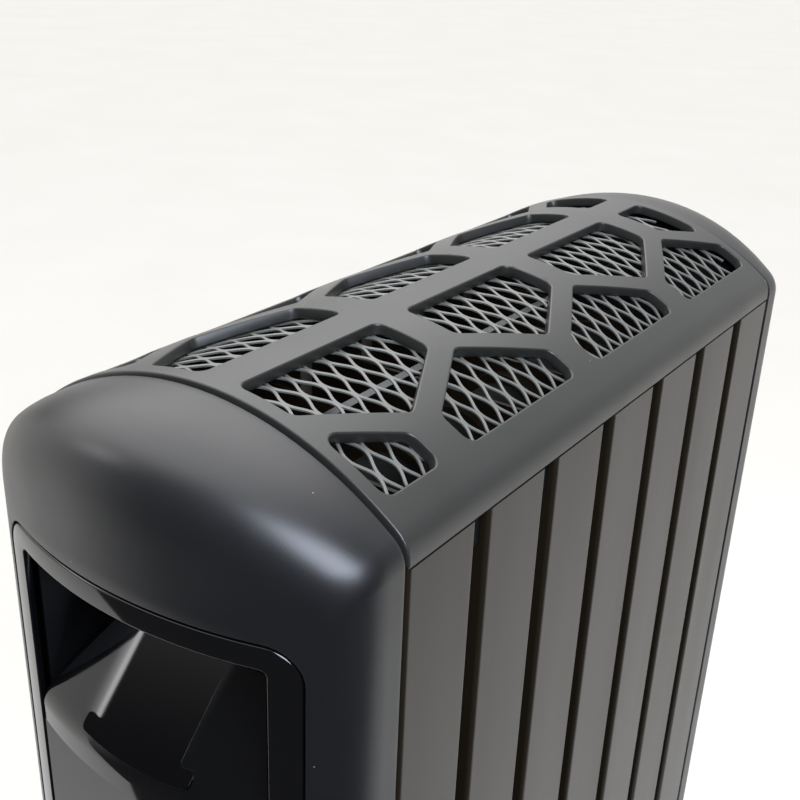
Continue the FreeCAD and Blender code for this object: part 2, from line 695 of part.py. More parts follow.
def make_fin():
    """One panel about Y = 0: pressed web with oil channels, header bosses and side strips."""
    strip_in = HALF_WIDTH - FIN_SHEET
    strip = strip_bar(0).cut(strip_bar(FIN_SHEET))
    pieces = [strip, strip.mirror(vec(0, 0, 0), ACROSS)]
    pieces.append(box((-strip_in, strip_in), (-WEB_SHEET / 2, WEB_SHEET / 2), (FIN_BASE, WEB_TOP)))
    for i in range(CHANNEL_COUNT):
        x = (i - (CHANNEL_COUNT - 1) / 2) * CHANNEL_PITCH
        left = vec(x - CHANNEL_WIDTH / 2, 0, HEADER_LOW)
        right = vec(x + CHANNEL_WIDTH / 2, 0, HEADER_LOW)
        front = vec(x, -CHANNEL_DEPTH / 2, HEADER_LOW)
        rear = vec(x, CHANNEL_DEPTH / 2, HEADER_LOW)
        lens = Part.Wire([arc(left, front, right), arc(right, rear, left)])
        pieces.append(prism(lens, UP * (HEADER_TOP - HEADER_LOW)))
    for z in (HEADER_LOW, HEADER_TOP):
        pieces.append(round_bar(BOSS_RADIUS, vec(0, -BOSS_DEPTH / 2, z), BOSS_DEPTH, BACK))
    fin = join(pieces)
    rail_low = COVER_RAIL_TOP - COVER_RAIL_HEIGHT - FIT_GAP
    rail_out = HALF_WIDTH - COVER_WALL + FIT_GAP
    fin = fin.cut(box((-rail_out, rail_out), (-FIN_PITCH, FIN_PITCH), (rail_low, HEIGHT)))
    for z in (HEADER_LOW, HEADER_TOP):
        fin = fin.cut(round_bar(COLLAR_BORE, vec(0, -FIN_PITCH, z), 2 * FIN_PITCH, BACK))
    return fin


def make_headers(z):
    """Collars between neighbouring panels, and stubs through both end plates."""
    ends = [FRONT_PLATE - PLATE]
    for index in range(FIN_COUNT):
        ends += [fin_middle(index) - BOSS_DEPTH / 2, fin_middle(index) + BOSS_DEPTH / 2]
    ends.append(REAR_PLATE + PLATE)
    collars = []
    for start, end in zip(ends[0::2], ends[1::2]):
        outer = round_bar(COLLAR_RADIUS, vec(0, start, z), end - start, BACK)
        collars.append(outer.cut(round_bar(COLLAR_BORE, vec(0, start, z), end - start, BACK)))
    return Part.makeCompound(collars)


def make_header_plugs():
    """Discs let into the open ends of the headers."""
    front = FRONT_PLATE - PLATE
    rear = REAR_PLATE + PLATE - PLUG_DEPTH
    places = [(front, HEADER_TOP), (rear, HEADER_TOP), (rear, HEADER_LOW)]
    return Part.makeCompound([round_bar(COLLAR_BORE - PRESS_GAP, vec(0, y, z), PLUG_DEPTH, BACK)
                              for y, z in places])


def flange_front():
    return FRONT_PLATE - PLATE - GASKET_DEPTH - FLANGE_DEPTH


def make_heating_element():
    """Two hairpin rods along the lower header, terminals through the flange."""
    start = flange_front() - TERMINAL_REACH
    end = REAR_PLATE - ROD_END_GAP
    rods = []
    for z in (HEADER_LOW - ROD_SPREAD, HEADER_LOW + ROD_SPREAD):
        legs = [round_bar(ROD_RADIUS, vec(x, start, z), end - start, BACK)
                for x in (-ROD_SPREAD, ROD_SPREAD)]
        bend = Part.makeTorus(ROD_SPREAD, ROD_RADIUS, vec(0, end, z), UP)
        bend = bend.common(box((-FAR, FAR), (end, end + FAR), (0, FAR)))
        rods.append(join(legs + [bend]))
    return Part.makeCompound(rods)


def make_element_flange():
    flange = round_bar(FLANGE_RADIUS, vec(0, flange_front(), HEADER_LOW), FLANGE_DEPTH, BACK)
    for z in (HEADER_LOW - ROD_SPREAD, HEADER_LOW + ROD_SPREAD):
        for x in (-ROD_SPREAD, ROD_SPREAD):
            start = vec(x, flange_front(), z)
            flange = flange.cut(round_bar(ROD_RADIUS + PRESS_GAP, start, FLANGE_DEPTH, BACK))
    return flange


def make_element_gasket():
    start = vec(0, FRONT_PLATE - PLATE - GASKET_DEPTH, HEADER_LOW)
    ring = round_bar(COLLAR_RADIUS, start, GASKET_DEPTH, BACK)
    return ring.cut(round_bar(COLLAR_BORE, start, GASKET_DEPTH, BACK))


def screw_places(inner, outward):
    """Foot screws: two on each foot, half way along the plate's flange."""
    return [vec(x, inner + outward * PLATE_FLANGE / 2, 0) for x in (-SCREW_OFFSET, SCREW_OFFSET)]


def make_bulkhead(face, end, outward):
    """End plate with a foot flange, inside its cap, pierced by the two header stubs."""
    inset = CAP_WALL + FIT_GAP
    outline = arch_wire(HALF_WIDTH - inset, HEIGHT - inset, CAP_BASE, face, ROOF_RADIUS - inset,
                        SHOULDER_RADIUS - inset)
    plan = prism(bow_plan(end, face, -outward, inset), UP * FAR)
    plate = prism(outline, BACK * outward * PLATE).common(plan)
    ends = sorted([face, face + outward * PLATE_FLANGE])
    flange = box((-PLATE_HALF, PLATE_HALF), ends, (CAP_BASE, CAP_BASE + PLATE))
    plate = join([plate, flange])
    for z in (HEADER_LOW, HEADER_TOP):
        start = vec(0, face - PLATE, z)
        plate = plate.cut(round_bar(COLLAR_RADIUS + PRESS_GAP, start, 2 * PLATE, BACK))
    for place in screw_places(face, outward):
        plate = plate.cut(round_bar(SCREW_RADIUS + PRESS_GAP, place, CAP_BASE + 2 * PLATE, UP))
    return plate


def make_rails(width, low, high, outer):
    rails = []
    for side in (-1, 1):
        ends = sorted([side * outer, side * (outer - width)])
        rails.append(box(ends, (FRONT_PLATE, REAR_PLATE), (low, high)))
    return Part.makeCompound(rails)


def make_top_tie_bar():
    half = TIE_BAR_WIDTH / 2
    return box((-half, half), (FRONT_PLATE, REAR_PLATE), (TIE_BAR_TOP - TIE_BAR_DEPTH, TIE_BAR_TOP))


def board_front():
    return FRONT_PLATE - PLATE - STANDOFF


def make_board_standoffs():
    posts = []
    for x in (-1, 1):
        for z in (-1, 1):
            start = vec(x * (POWER_BOARD_X / 2 - 2 * STANDOFF_RADIUS), board_front(),
                        POWER_BOARD_HEIGHT + z * (POWER_BOARD_Z / 2 - 2 * STANDOFF_RADIUS))
            posts.append(round_bar(STANDOFF_RADIUS, start, STANDOFF, BACK))
    return Part.makeCompound(posts)


def make_power_board():
    half = POWER_BOARD_Z / 2
    return box((-POWER_BOARD_X / 2, POWER_BOARD_X / 2), (board_front() - BOARD, board_front()),
               (POWER_BOARD_HEIGHT - half, POWER_BOARD_HEIGHT + half))


def make_power_relays():
    front = board_front() - BOARD
    blocks = []
    for x in (-RELAY_PITCH / 2, RELAY_PITCH / 2):
        blocks.append(box((x - RELAY[2] / 2, x + RELAY[2] / 2), (front - RELAY[1], front),
                          (POWER_BOARD_HEIGHT - RELAY[0] / 2, POWER_BOARD_HEIGHT + RELAY[0] / 2)))
    return Part.makeCompound(blocks)


def make_terminal_block():
    width, depth, height = TERMINAL_BLOCK
    face = FRONT_PLATE - PLATE
    block = box((-width / 2, width / 2), (face - depth, face),
                (TERMINAL_BLOCK_HEIGHT, TERMINAL_BLOCK_HEIGHT + height))
    for step in (-1, 0, 1):
        start = vec(step * TERMINAL_PITCH, face - depth, TERMINAL_BLOCK_HEIGHT + height / 2)
        block = block.cut(round_bar(TERMINAL_HOLE, start, depth / 2, BACK))
    return block


def make_thermal_cutout():
    face = FRONT_PLATE - PLATE
    centre = vec(CUTOUT_OFFSET, face - CUTOUT_DEPTH, HEADER_LOW)
    ear = box((CUTOUT_OFFSET - 2 * CUTOUT_RADIUS, CUTOUT_OFFSET + 2 * CUTOUT_RADIUS),
              (face - PLATE, face), (HEADER_LOW - CUTOUT_RADIUS / 2, HEADER_LOW + CUTOUT_RADIUS / 2))
    return join([round_bar(CUTOUT_RADIUS, centre, CUTOUT_DEPTH, BACK), ear])


def make_room_sensor():
    foot = vec(SENSOR_OFFSET, FRONT_PLATE - PLATE_FLANGE - 2 * SENSOR_RADIUS, CAP_BASE)
    return round_bar(SENSOR_RADIUS, foot, SENSOR_HEIGHT, UP).fuse(
        Part.makeSphere(SENSOR_RADIUS, foot + UP * SENSOR_HEIGHT)).removeSplitter()


def make_tip_over_switch():
    width, depth, height = TIP_SWITCH
    rear = FRONT_PLATE - PLATE_FLANGE
    return box((-width / 2, width / 2), (rear - depth, rear), (CAP_BASE, CAP_BASE + height))


def gland_place():
    return vec(-GLAND_OFFSET, FRONT_PLATE - PLATE_FLANGE - GLAND_COLLAR, CAP_BASE)


def make_cord_gland():
    """Bush through the front foot, with a collar on top, for the mains lead."""
    low = gland_place() - UP * (FOOT_HEIGHT - FOOT_ARCH + GLAND_LIP)
    body = round_bar(GLAND_RADIUS, low, FOOT_HEIGHT - FOOT_ARCH + GLAND_LIP, UP)
    collar = round_bar(GLAND_COLLAR, gland_place(), GLAND_LIP, UP)
    return join([body, collar]).cut(round_bar(GLAND_BORE, low, FOOT_HEIGHT + 2 * GLAND_LIP, UP))


def switch_pivot():
    return vec(0, FRONT_END + PANEL_SETBACK + SWITCH_PIVOT, SWITCH_HEIGHT)


def make_switch_body():
    """Snap-in housing with a rim on the panel and a well for the rocker."""
    face = FRONT_END + PANEL_SETBACK
    half_x = SWITCH_FLANGE_X / 2
    half_z = SWITCH_FLANGE_Z / 2
    rim = box((-half_x, half_x), (face - SWITCH_RIM_DEPTH, face),
              (SWITCH_HEIGHT - half_z, SWITCH_HEIGHT + half_z))
    neck_x = half_x - SWITCH_RIM - FIT_GAP
    neck_z = half_z - SWITCH_RIM - FIT_GAP
    neck = box((-neck_x, neck_x), (face, face + SWITCH_BODY_DEPTH),
               (SWITCH_HEIGHT - neck_z, SWITCH_HEIGHT + neck_z))
    well_x = ROCKER_WIDTH / 2 + ROCKER_GAP
    well_z = ROCKER_REACH + ROCKER_GAP
    well = box((-well_x, well_x), (face - SWITCH_RIM_DEPTH, face + SWITCH_BODY_DEPTH - SWITCH_WALL),
               (SWITCH_HEIGHT - well_z, SWITCH_HEIGHT + well_z))
    body = join([rim, neck]).cut(well)
    pins = round_bar(PIVOT_RADIUS, switch_pivot() - ACROSS * neck_x, 2 * neck_x, ACROSS)
    return join([body, pins])


def make_switch_rocker():
    """Dished rocker, stored switched off, that turns on the pins of its housing."""
    pivot = switch_pivot()
    half = ROCKER_WIDTH / 2
    tip = ROCKER_FACE + ROCKER_DISH
    outline = [vec(-half, -ROCKER_FACE, 0), vec(-half, -tip, ROCKER_REACH),
               vec(-half, ROCKER_FACE, ROCKER_REACH), vec(-half, ROCKER_FACE, -ROCKER_REACH),
               vec(-half, -tip, -ROCKER_REACH)]
    rocker = polygon_prism(outline, ACROSS * ROCKER_WIDTH)
    start = vec(-ROCKER_WIDTH, 0, 0)
    rocker = rocker.common(round_bar(ROCKER_REACH, start, 2 * ROCKER_WIDTH, ACROSS))
    rocker = rocker.cut(round_bar(PIVOT_RADIUS + RUNNING_GAP, start, 2 * ROCKER_WIDTH, ACROSS))
    rocker.rotate(vec(0, 0, 0), ACROSS, -ROCKER_TILT)
    rocker.translate(pivot)
    return rocker


def foot_places(inner, outward):
    """Swivel axes of one foot's two casters, at the foot's underside."""
    return [vec(x, inner + outward * CASTER_INSET, FOOT_BASE) for x in (-CASTER_TRACK, CASTER_TRACK)]


def make_foot(inner, end, outward, screws):
    """Cross foot: level over the caps, falling towards its ends, arched between the casters."""
    half = FOOT_LENGTH / 2
    pad = HALF_WIDTH - FOOT_PAD_INSET
    high_end = CAP_BASE - FOOT_END_DROP
    arch = FOOT_BASE + FOOT_ARCH
    side = [vec(-half, inner, FOOT_BASE), vec(-pad, inner, FOOT_BASE),
            vec(-pad + FOOT_ARCH, inner, arch), vec(pad - FOOT_ARCH, inner, arch),
            vec(pad, inner, FOOT_BASE), vec(half, inner, FOOT_BASE), vec(half, inner, high_end),
            vec(HALF_WIDTH, inner, CAP_BASE), vec(-HALF_WIDTH, inner, CAP_BASE),
            vec(-half, inner, high_end)]
    reach = abs(end - inner) - FOOT_SETBACK
    bar = polygon_prism(side, BACK * outward * reach)
    corners = [vec(-half, inner, 0), vec(half, inner, 0), vec(half, inner + outward * reach, 0),
               vec(-half, inner + outward * reach, 0)]
    plan = prism(rounded_wire(corners, FOOT_CORNER), UP * FAR)
    bow = round_bar(FOOT_BOW, vec(0, inner + outward * (reach - FOOT_BOW), 0), FAR, UP)
    foot = bar.common(plan).common(bow)
    depth = STEM_LENGTH - CASTER_GAP + STEM_END_GAP
    for place in foot_places(inner, outward):
        foot = foot.cut(round_bar(STEM_RADIUS + RUNNING_GAP, place, depth, UP))
    for place in screws:
        foot = foot.cut(round_bar(SCREW_RADIUS + PRESS_GAP, place, FAR, UP))
    return foot


def make_front_foot():
    foot = make_foot(FRONT_PLATE, FRONT_END, -1, screw_places(FRONT_PLATE, -1))
    low = gland_place() - UP * FOOT_HEIGHT
    return foot.cut(round_bar(GLAND_RADIUS + PRESS_GAP, low, FOOT_HEIGHT, UP))


def make_rear_foot():
    return make_foot(REAR_PLATE, REAR_END, 1, screw_places(REAR_PLATE, 1))


def make_foot_screws():
    screws = []
    low = FOOT_BASE + FOOT_ARCH - SCREW_HEAD_DEPTH
    for place in screw_places(FRONT_PLATE, -1) + screw_places(REAR_PLATE, 1):
        start = vec(place.x, place.y, low)
        shank = round_bar(SCREW_RADIUS, start, CAP_BASE + 2 * PLATE - low, UP)
        screws.append(join([round_bar(SCREW_HEAD, start, SCREW_HEAD_DEPTH, UP), shank]))
    return Part.makeCompound(screws)


def make_yoke():
    """Caster body about its swivel axis: hood over both wheels, web, boss and stem."""
    wheel_in = YOKE_WEB / 2
    outer = wheel_in + WHEEL_GAP + WHEEL_WIDTH + WHEEL_GAP
    radius = WHEEL_RADIUS + HOOD_GAP
    axle = vec(-outer, CASTER_TRAIL, WHEEL_RADIUS)
    top = FOOT_BASE - CASTER_GAP
    hood = round_bar(radius + HOOD_WALL, axle, 2 * outer, ACROSS)
    hood = hood.common(box((-outer, outer), (-FAR, FAR), (WHEEL_RADIUS, top)))
    boss = round_bar(YOKE_BOSS, vec(0, 0, WHEEL_RADIUS), top - WHEEL_RADIUS, UP)
    hub = round_bar(YOKE_HUB, vec(-wheel_in, CASTER_TRAIL, WHEEL_RADIUS), YOKE_WEB, ACROSS)
    body = join([hood, boss, hub])
    length = outer - wheel_in + YOKE_BOSS
    for x in (-outer - YOKE_BOSS, wheel_in):
        start = vec(x, CASTER_TRAIL, WHEEL_RADIUS)
        body = body.cut(round_bar(radius, start, length, ACROSS))
    stem = round_bar(STEM_RADIUS, vec(0, 0, top), STEM_LENGTH, UP)
    body = join([body, stem])
    return body.cut(round_bar(AXLE_RADIUS + PRESS_GAP, axle, 2 * outer, ACROSS))


def make_axle():
    half = YOKE_WEB / 2 + WHEEL_GAP + WHEEL_WIDTH - WHEEL_DISH + WHEEL_GAP / 2
    start = vec(-half, CASTER_TRAIL, WHEEL_RADIUS)
    shaft = round_bar(AXLE_RADIUS, start, 2 * half, ACROSS)
    heads = [round_bar(AXLE_HEAD, vec(x, CASTER_TRAIL, WHEEL_RADIUS), AXLE_HEAD_DEPTH, ACROSS)
             for x in (-half - AXLE_HEAD_DEPTH, half)]
    return join([shaft] + heads)


def make_wheel(side):
    """Wheel with rounded tread edges and a dished outer face, about the swivel axis."""
    start = YOKE_WEB / 2 + WHEEL_GAP
    end = start + WHEEL_WIDTH
    bore = AXLE_RADIUS + RUNNING_GAP
    rim = WHEEL_RADIUS - WHEEL_DISH
    outline = [vec(start, bore, 0), vec(start, rim, 0), vec(start + WHEEL_DISH, WHEEL_RADIUS, 0),
               vec(end - WHEEL_DISH, WHEEL_RADIUS, 0), vec(end, rim, 0), vec(end, rim - WHEEL_DISH, 0),
               vec(end - WHEEL_DISH, rim - 2 * WHEEL_DISH, 0), vec(end - WHEEL_DISH, bore, 0)]
    wheel = polygon_face(outline).revolve(vec(0, 0, 0), ACROSS, 360)
    if side < 0:
        wheel = wheel.mirror(vec(0, 0, 0), ACROSS)
    return wheel.translated(vec(0, CASTER_TRAIL, WHEEL_RADIUS))


def make_parts():
    parts = {
        "front_cap": make_front_cap(),
        "control_bezel": make_control_bezel(),
        "front_panel": make_front_panel(),
        "grip_pocket": make_grip_pocket(),
        "display_fascia": make_display_fascia(),
        "display_lens": make_display_lens(),
        "control_board": make_control_board(),
        "display_module": make_display_module(),
        "rear_cap": make_rear_cap(),
        "rear_grip": make_rear_grip(),
        "top_cover": make_top_cover(),
        "top_mesh": make_top_mesh(),
        "top_tie_bar": make_top_tie_bar(),
        "cover_rails": make_rails(COVER_RAIL_WIDTH, COVER_RAIL_TOP - COVER_RAIL_HEIGHT, COVER_RAIL_TOP,
                                  HALF_WIDTH - COVER_WALL),
        "base_rails": make_rails(BASE_RAIL_WIDTH, FIN_BASE - BASE_RAIL_HEIGHT, FIN_BASE,
                                 HALF_WIDTH - FIN_SHEET),
        "upper_headers": make_headers(HEADER_TOP),
        "lower_headers": make_headers(HEADER_LOW),
        "header_plugs": make_header_plugs(),
        "heating_element": make_heating_element(),
        "element_flange": make_element_flange(),
        "element_gasket": make_element_gasket(),
        "front_bulkhead": make_bulkhead(FRONT_PLATE, FRONT_END, -1),
        "rear_bulkhead": make_bulkhead(REAR_PLATE, REAR_END, 1),
        "board_standoffs": make_board_standoffs(),
        "power_board": make_power_board(),
        "power_relays": make_power_relays(),
        "terminal_block": make_terminal_block(),
        "thermal_cutout": make_thermal_cutout(),
        "room_sensor": make_room_sensor(),
        "tip_over_switch": make_tip_over_switch(),
        "cord_gland": make_cord_gland(),
        "switch_body": make_switch_body(),
        "switch_rocker": make_switch_rocker(),
        "front_foot": make_front_foot(),
        "rear_foot": make_rear_foot(),
        "foot_screws": make_foot_screws(),
    }
    fin = make_fin()
    for index in range(FIN_COUNT):
        parts[f"fin_{index + 1}"] = fin.translated(vec(0, fin_middle(index), 0))
    yoke = make_yoke()
    axle = make_axle()
    wheels = {"left": make_wheel(-1), "right": make_wheel(1)}
    feet = {"front": foot_places(FRONT_PLATE, -1), "rear": foot_places(REAR_PLATE, 1)}
    for end, places in feet.items():
        for side, place in zip(("left", "right"), places):
            move = vec(place.x, place.y, 0)
            name = f"caster_{end}_{side}"
            parts[f"{name}_yoke"] = yoke.translated(move)
            parts[f"{name}_axle"] = axle.translated(move)
            for wheel_side, wheel in wheels.items():
                parts[f"{name}_{wheel_side}_wheel"] = wheel.translated(move)
    return parts


os.makedirs("parts", exist_ok=True)
for node, shape in make_parts().items():
    shape.exportStep(f"parts/{node}.step")
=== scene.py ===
import json
import math

import bmesh
import bpy
from mathutils import Matrix, Vector


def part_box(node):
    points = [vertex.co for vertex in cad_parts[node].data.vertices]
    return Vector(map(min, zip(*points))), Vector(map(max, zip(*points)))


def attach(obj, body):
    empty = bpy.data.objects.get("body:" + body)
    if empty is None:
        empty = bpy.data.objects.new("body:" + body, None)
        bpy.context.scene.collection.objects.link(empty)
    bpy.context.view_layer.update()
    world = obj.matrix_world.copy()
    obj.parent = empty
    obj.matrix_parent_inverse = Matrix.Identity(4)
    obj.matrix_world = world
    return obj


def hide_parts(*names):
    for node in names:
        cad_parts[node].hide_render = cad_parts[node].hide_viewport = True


# Looks of an oil-filled radiator on casters: smooth moulded end caps, a perforated roof over
# expanded mesh, a glossy control insert, coated side strips, feet and casters.
# Metres, in the frame's axes: X across, Y from the control end to the rear, Z up.

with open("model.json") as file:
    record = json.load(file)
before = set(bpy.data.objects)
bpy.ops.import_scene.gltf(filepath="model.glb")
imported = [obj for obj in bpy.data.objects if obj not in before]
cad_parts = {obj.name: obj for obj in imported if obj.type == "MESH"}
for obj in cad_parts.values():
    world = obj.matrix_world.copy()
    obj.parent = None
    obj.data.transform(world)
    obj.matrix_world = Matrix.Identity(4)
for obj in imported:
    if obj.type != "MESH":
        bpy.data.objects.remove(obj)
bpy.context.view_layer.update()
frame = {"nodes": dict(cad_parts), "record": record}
nodes = frame["nodes"]

# Places read from the frame
COVER_LOW, COVER_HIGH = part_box("top_cover")
CAP_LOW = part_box("front_cap")[0]
POCKET_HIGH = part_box("grip_pocket")[1]
HALF_WIDTH = COVER_HIGH.x
HEIGHT = COVER_HIGH.z
FRONT_SEAM = COVER_LOW.y
REAR_SEAM = COVER_HIGH.y
FRONT_END = CAP_LOW.y
REAR_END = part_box("rear_cap")[1].y
CAP_BASE = CAP_LOW.z
SIDE_SEAM = COVER_LOW.z

MM = 0.001

# Roof and end caps
ROOF_RADIUS = 152 * MM
SHOULDER_RADIUS = 14 * MM
BOW_RADIUS = 208.5 * MM
CAP_CORNER = 26 * MM
CAP_WALL = 3 * MM
CROWN_DROP = 40 * MM
CROWN_SHOULDER = 5 * MM         # growth of the shoulder radius along the crown
CROWN_POWER = 0.62              # 1 is a plain quarter round, less is fuller
CROWN_SPACING = 1.4             # more than 1 sets the crown's rings closer together near the seam
CROWN_SINK = 1.4 * MM           # the roof stands above the caps at the seam by this much
SEAM_GROOVE = 2.2 * MM
RIM_ROUND = 0.9 * MM            # rounding of moulded rims
RIM_SEGMENTS = 3
RIM_ANGLE = math.radians(50)    # edges sharper than this are rounded
REAR_GRIP_HALF = 56 * MM
REAR_GRIP_LOW = 556 * MM
REAR_GRIP_HIGH = 590 * MM
REAR_GRIP_CORNER = 10 * MM
SIDE_STEPS = 14                 # points along each part of a cap's outline
SHOULDER_STEPS = 10
ROOF_STEPS = 14
BASE_STEPS = 16
CROWN_RINGS = 26
FRONT_FACE_RINGS = 4
REAR_FACE_RINGS = 16

# The roof's section: an arc over the middle, a tighter arc at each shoulder, then straight down.
ROOF_MIDDLE_Z = HEIGHT - ROOF_RADIUS
KNEE_X = HALF_WIDTH - SHOULDER_RADIUS
KNEE_LEAN = math.asin(KNEE_X / (ROOF_RADIUS - SHOULDER_RADIUS))
KNEE_Z = ROOF_MIDDLE_Z + (ROOF_RADIUS - SHOULDER_RADIUS) * math.cos(KNEE_LEAN)
ROOF_ARC = ROOF_RADIUS * KNEE_LEAN
SHOULDER_ARC = SHOULDER_RADIUS * (math.pi / 2 - KNEE_LEAN)

# Perforated cover
COVER_WALL = 5.6 * MM
SPINE_HALF = 9.5 * MM
INNER_SIDE = 37 * MM
INNER_TIP = 60 * MM
OUTER_TIP = 44 * MM
OUTER_SIDE = 67 * MM
OUTER_EDGE = 81 * MM
OPENING_HALF = 44.5 * MM
OPENING_FIRST = 52.3 * MM
OPENING_PITCH = 55 * MM
OPENING_CORNER = 5 * MM
OPENING_LEAST = 20 * MM
PATTERN_MARGIN = 7 * MM
HOLE_ROUND = 0.9 * MM           # rounded rim of each opening

# Sheets that are filled flat and then bent
CORNER_STEPS = 6
ROUND_STEPS = 2                 # points across each rounded edge, besides its ends
BEND_STEP = 3 * MM              # width of the strips that sheets are bent in
WELD = 0.01 * MM                # points closer than this are one
NORMAL_PROBE = 0.2 * MM         # step along a flat normal that is bent with the sheet
LEVEL = 0.999                   # a flat sheet's faces point up or down by at least this

# Expanded mesh
MESH_SHORT = 11.6 * MM
MESH_LONG = 25 * MM
MESH_ROWS = 8                   # half lozenges on each side of the ridge
STRAND_WIDTH = 1.35 * MM
STRAND_SHEET = 0.8 * MM
STRAND_TILT = math.radians(12)
STRAND_STEPS = 8
BOND_SHARE = 0.4                # strands start beside the bond's middle, by this share of their width

# Control insert
BEZEL_HALF = 78 * MM
BEZEL_TOP = 597.6 * MM
BEZEL_BOTTOM = 150.4 * MM
BEZEL_CORNER = 13.6 * MM
BEZEL_SIDE = 12.6 * MM
BEZEL_BAR = 10.1 * MM
BEZEL_DEPTH = 3 * MM
BEZEL_INNER_CORNER = 2.5 * MM
BEZEL_WINDOW_GAP = 1.3 * MM
BEZEL_RIM = 0.3 * RIM_ROUND     # middle of the rounding, below both of its faces
BEZEL_FACE_WEIGHT = 100         # its flat faces set the normals, not the narrow rims
PANEL_SETBACK = 1 * MM
PANEL_HALF = 65 * MM
PANEL_TOP = 502 * MM
PANEL_BOTTOM = 160.9 * MM
PANEL_SHEET = 2.2 * MM
PANEL_ROUND = 0.3 * MM
SWITCH_HEIGHT = 205 * MM
SWITCH_HALF_X = 6 * MM
SWITCH_HALF_Z = 10.5 * MM
LIP_HEIGHT = 515 * MM
LIP_ROUND = 20 * MM             # roll from the panel into the slope
LIP_LAP = 1.5 * MM              # the roll's skirt laps over the top of the panel
LIP_STEP = 0.05 * MM
LIP_STEPS = 10
TONGUE_SLOPE = math.radians(46.8)
TONGUE_EDGE = 1 * MM
TONGUE_END_GAP = 4.4 * MM       # from the end of the slope to the pocket's rear face
TONGUE_HALF_FRONT = 64.8 * MM
TONGUE_HALF_REAR = 36 * MM
TONGUE_COLUMNS = 96
TONGUE_STEPS = 22
FLANK_TILT = math.tan(math.radians(8))  # the flanks fall away from the flat display
FLANK_CROWN = 290 * MM
FLANK_CREASE = 4 * MM           # width of the soft crease beside the display
LENS_HALF = 22 * MM
LENS_BAND_HALF = 30 * MM
LENS_BAND = 8 * MM
LENS_START = 0.5 * MM
LENS_LENGTH = 58 * MM
LENS_CORNER = 2.5 * MM
LENS_PROUD = 0.03 * MM
LENS_SHEET = 3.4 * MM
LENS_ROUND = 0.06 * MM

# Materials
CLOUD_SIZE = 45 * MM            # patches of handling and dust
CLOUD_DETAIL = 4
RELIEF_DETAIL = 2
RELIEF_STRENGTH = 0.35
NOISE_LOW = 0.3                 # most of a noise lies between these two
NOISE_HIGH = 0.7
DUST_SPACING = 13 * MM
DUST_RADIUS = 0.3 * MM
DUST_SHARE = 0.35

# Camera at the photograph's viewpoint
CAMERA_PLACE = Vector((280.36, -466.72, 837.79)) * MM
CAMERA_AZIMUTH = math.radians(34.3453)
CAMERA_ELEVATION = math.radians(24.393)
CAMERA_ROLL = math.radians(2.2354)
CAMERA_LENS = 50.876
CAMERA_SENSOR = 36

# Studio: one soft lamp, a pale floor, and soft bright parts of the room all round
LAMP_PLACE = Vector((0.84, -0.78, 1.38))
LAMP_AIM = Vector((0.06, -0.2, 0.6))
LAMP_SIZE = 0.8
LAMP_POWER = 28
LAMP_COLOUR = "#e4eeff"
FLOOR_TONES = ("#c3c1bd", "#c8c7c4")
FLOOR_CLOUD = 300 * MM
FLOOR_DETAIL = 3
FLOOR_HALF = 14
FLOOR_FRONT = -0.36             # the floor is a sheet that ends in front of the heater
FLOOR_TURN = math.radians(31)   # and reaches further out on its left
FLOOR_LIFT = 0.25               # keeps the floor white where it is seen, with the shadow on it
ROOM_COLOUR = "#ffffff"
ROOM_DIM = 0.02                 # strength of each bright part far from its middle
ROOM_PARTS = (                  # direction, cosines where it starts and is full, and strength
    ((-0.45, 0.15, 0.88), 0.54, 0.95, 3.0),         # ceiling
    ((-0.12, 0.985, 0.12), 0.4, 0.95, 0.9),         # wall behind
    ((-0.93, -0.36, 0), 0.82, 0.95, 0.85),          # wall on the left
    ((-0.76, -0.52, 0.385), 0.985, 0.999, 6.0),     # small window on the left
)


def linear(code):
    """Linear colour of an sRGB hex value."""
    values = []
    for i in (1, 3, 5):
        c = int(code[i:i + 2], 16) / 255
        values.append(c / 12.92 if c <= 0.04045 else ((c + 0.055) / 1.055) ** 2.4)
    return (*values, 1)


def add(tree, kind, inputs=None, **settings):
    """Adds one node: inputs holds socket values, or sockets to link from."""
    node = tree.nodes.new(kind)
    for name, value in settings.items():
        setattr(node, name, value)
    for name, value in (inputs or {}).items():
        if isinstance(value, bpy.types.NodeSocket):
            tree.links.new(value, node.inputs[name])
        else:
            node.inputs[name].default_value = value
    return node


def maths(tree, operation, first, second):
    """Value of one operation on two values or sockets."""
    node = add(tree, "ShaderNodeMath", {0: first, 1: second}, operation=operation)
    return node.outputs["Value"]


def new_material(name):
    material = bpy.data.materials.new(name)
    material.use_nodes = True
    tree = material.node_tree
    tree.nodes.clear()
    place = add(tree, "ShaderNodeTexCoord").outputs["Object"]
    return material, tree, place


def noise(tree, place, size, detail, stretch=(1, 1, 1)):
    """Noise with features of the given size in metres, longer along an axis that is stretched."""
    scale = tuple(1 / (size * factor) for factor in stretch)
    vector = add(tree, "ShaderNodeVectorMath", {0: place, 1: scale}, operation="MULTIPLY")
    inputs = {"Vector": vector.outputs["Vector"], "Scale": 1, "Detail": detail}
    return add(tree, "ShaderNodeTexNoise", inputs).outputs["Fac"]


def blend(tree, factor, first, second):
    inputs = {"Factor": factor, "A": first, "B": second}
    return add(tree, "ShaderNodeMix", inputs, data_type="RGBA").outputs["Result"]


def remap(tree, value, low, high):
    """Spreads a noise over the values from low to high."""
    inputs = {"Value": value, "From Min": NOISE_LOW, "From Max": NOISE_HIGH, "To Min": low, "To Max": high}
    return add(tree, "ShaderNodeMapRange", inputs).outputs["Result"]


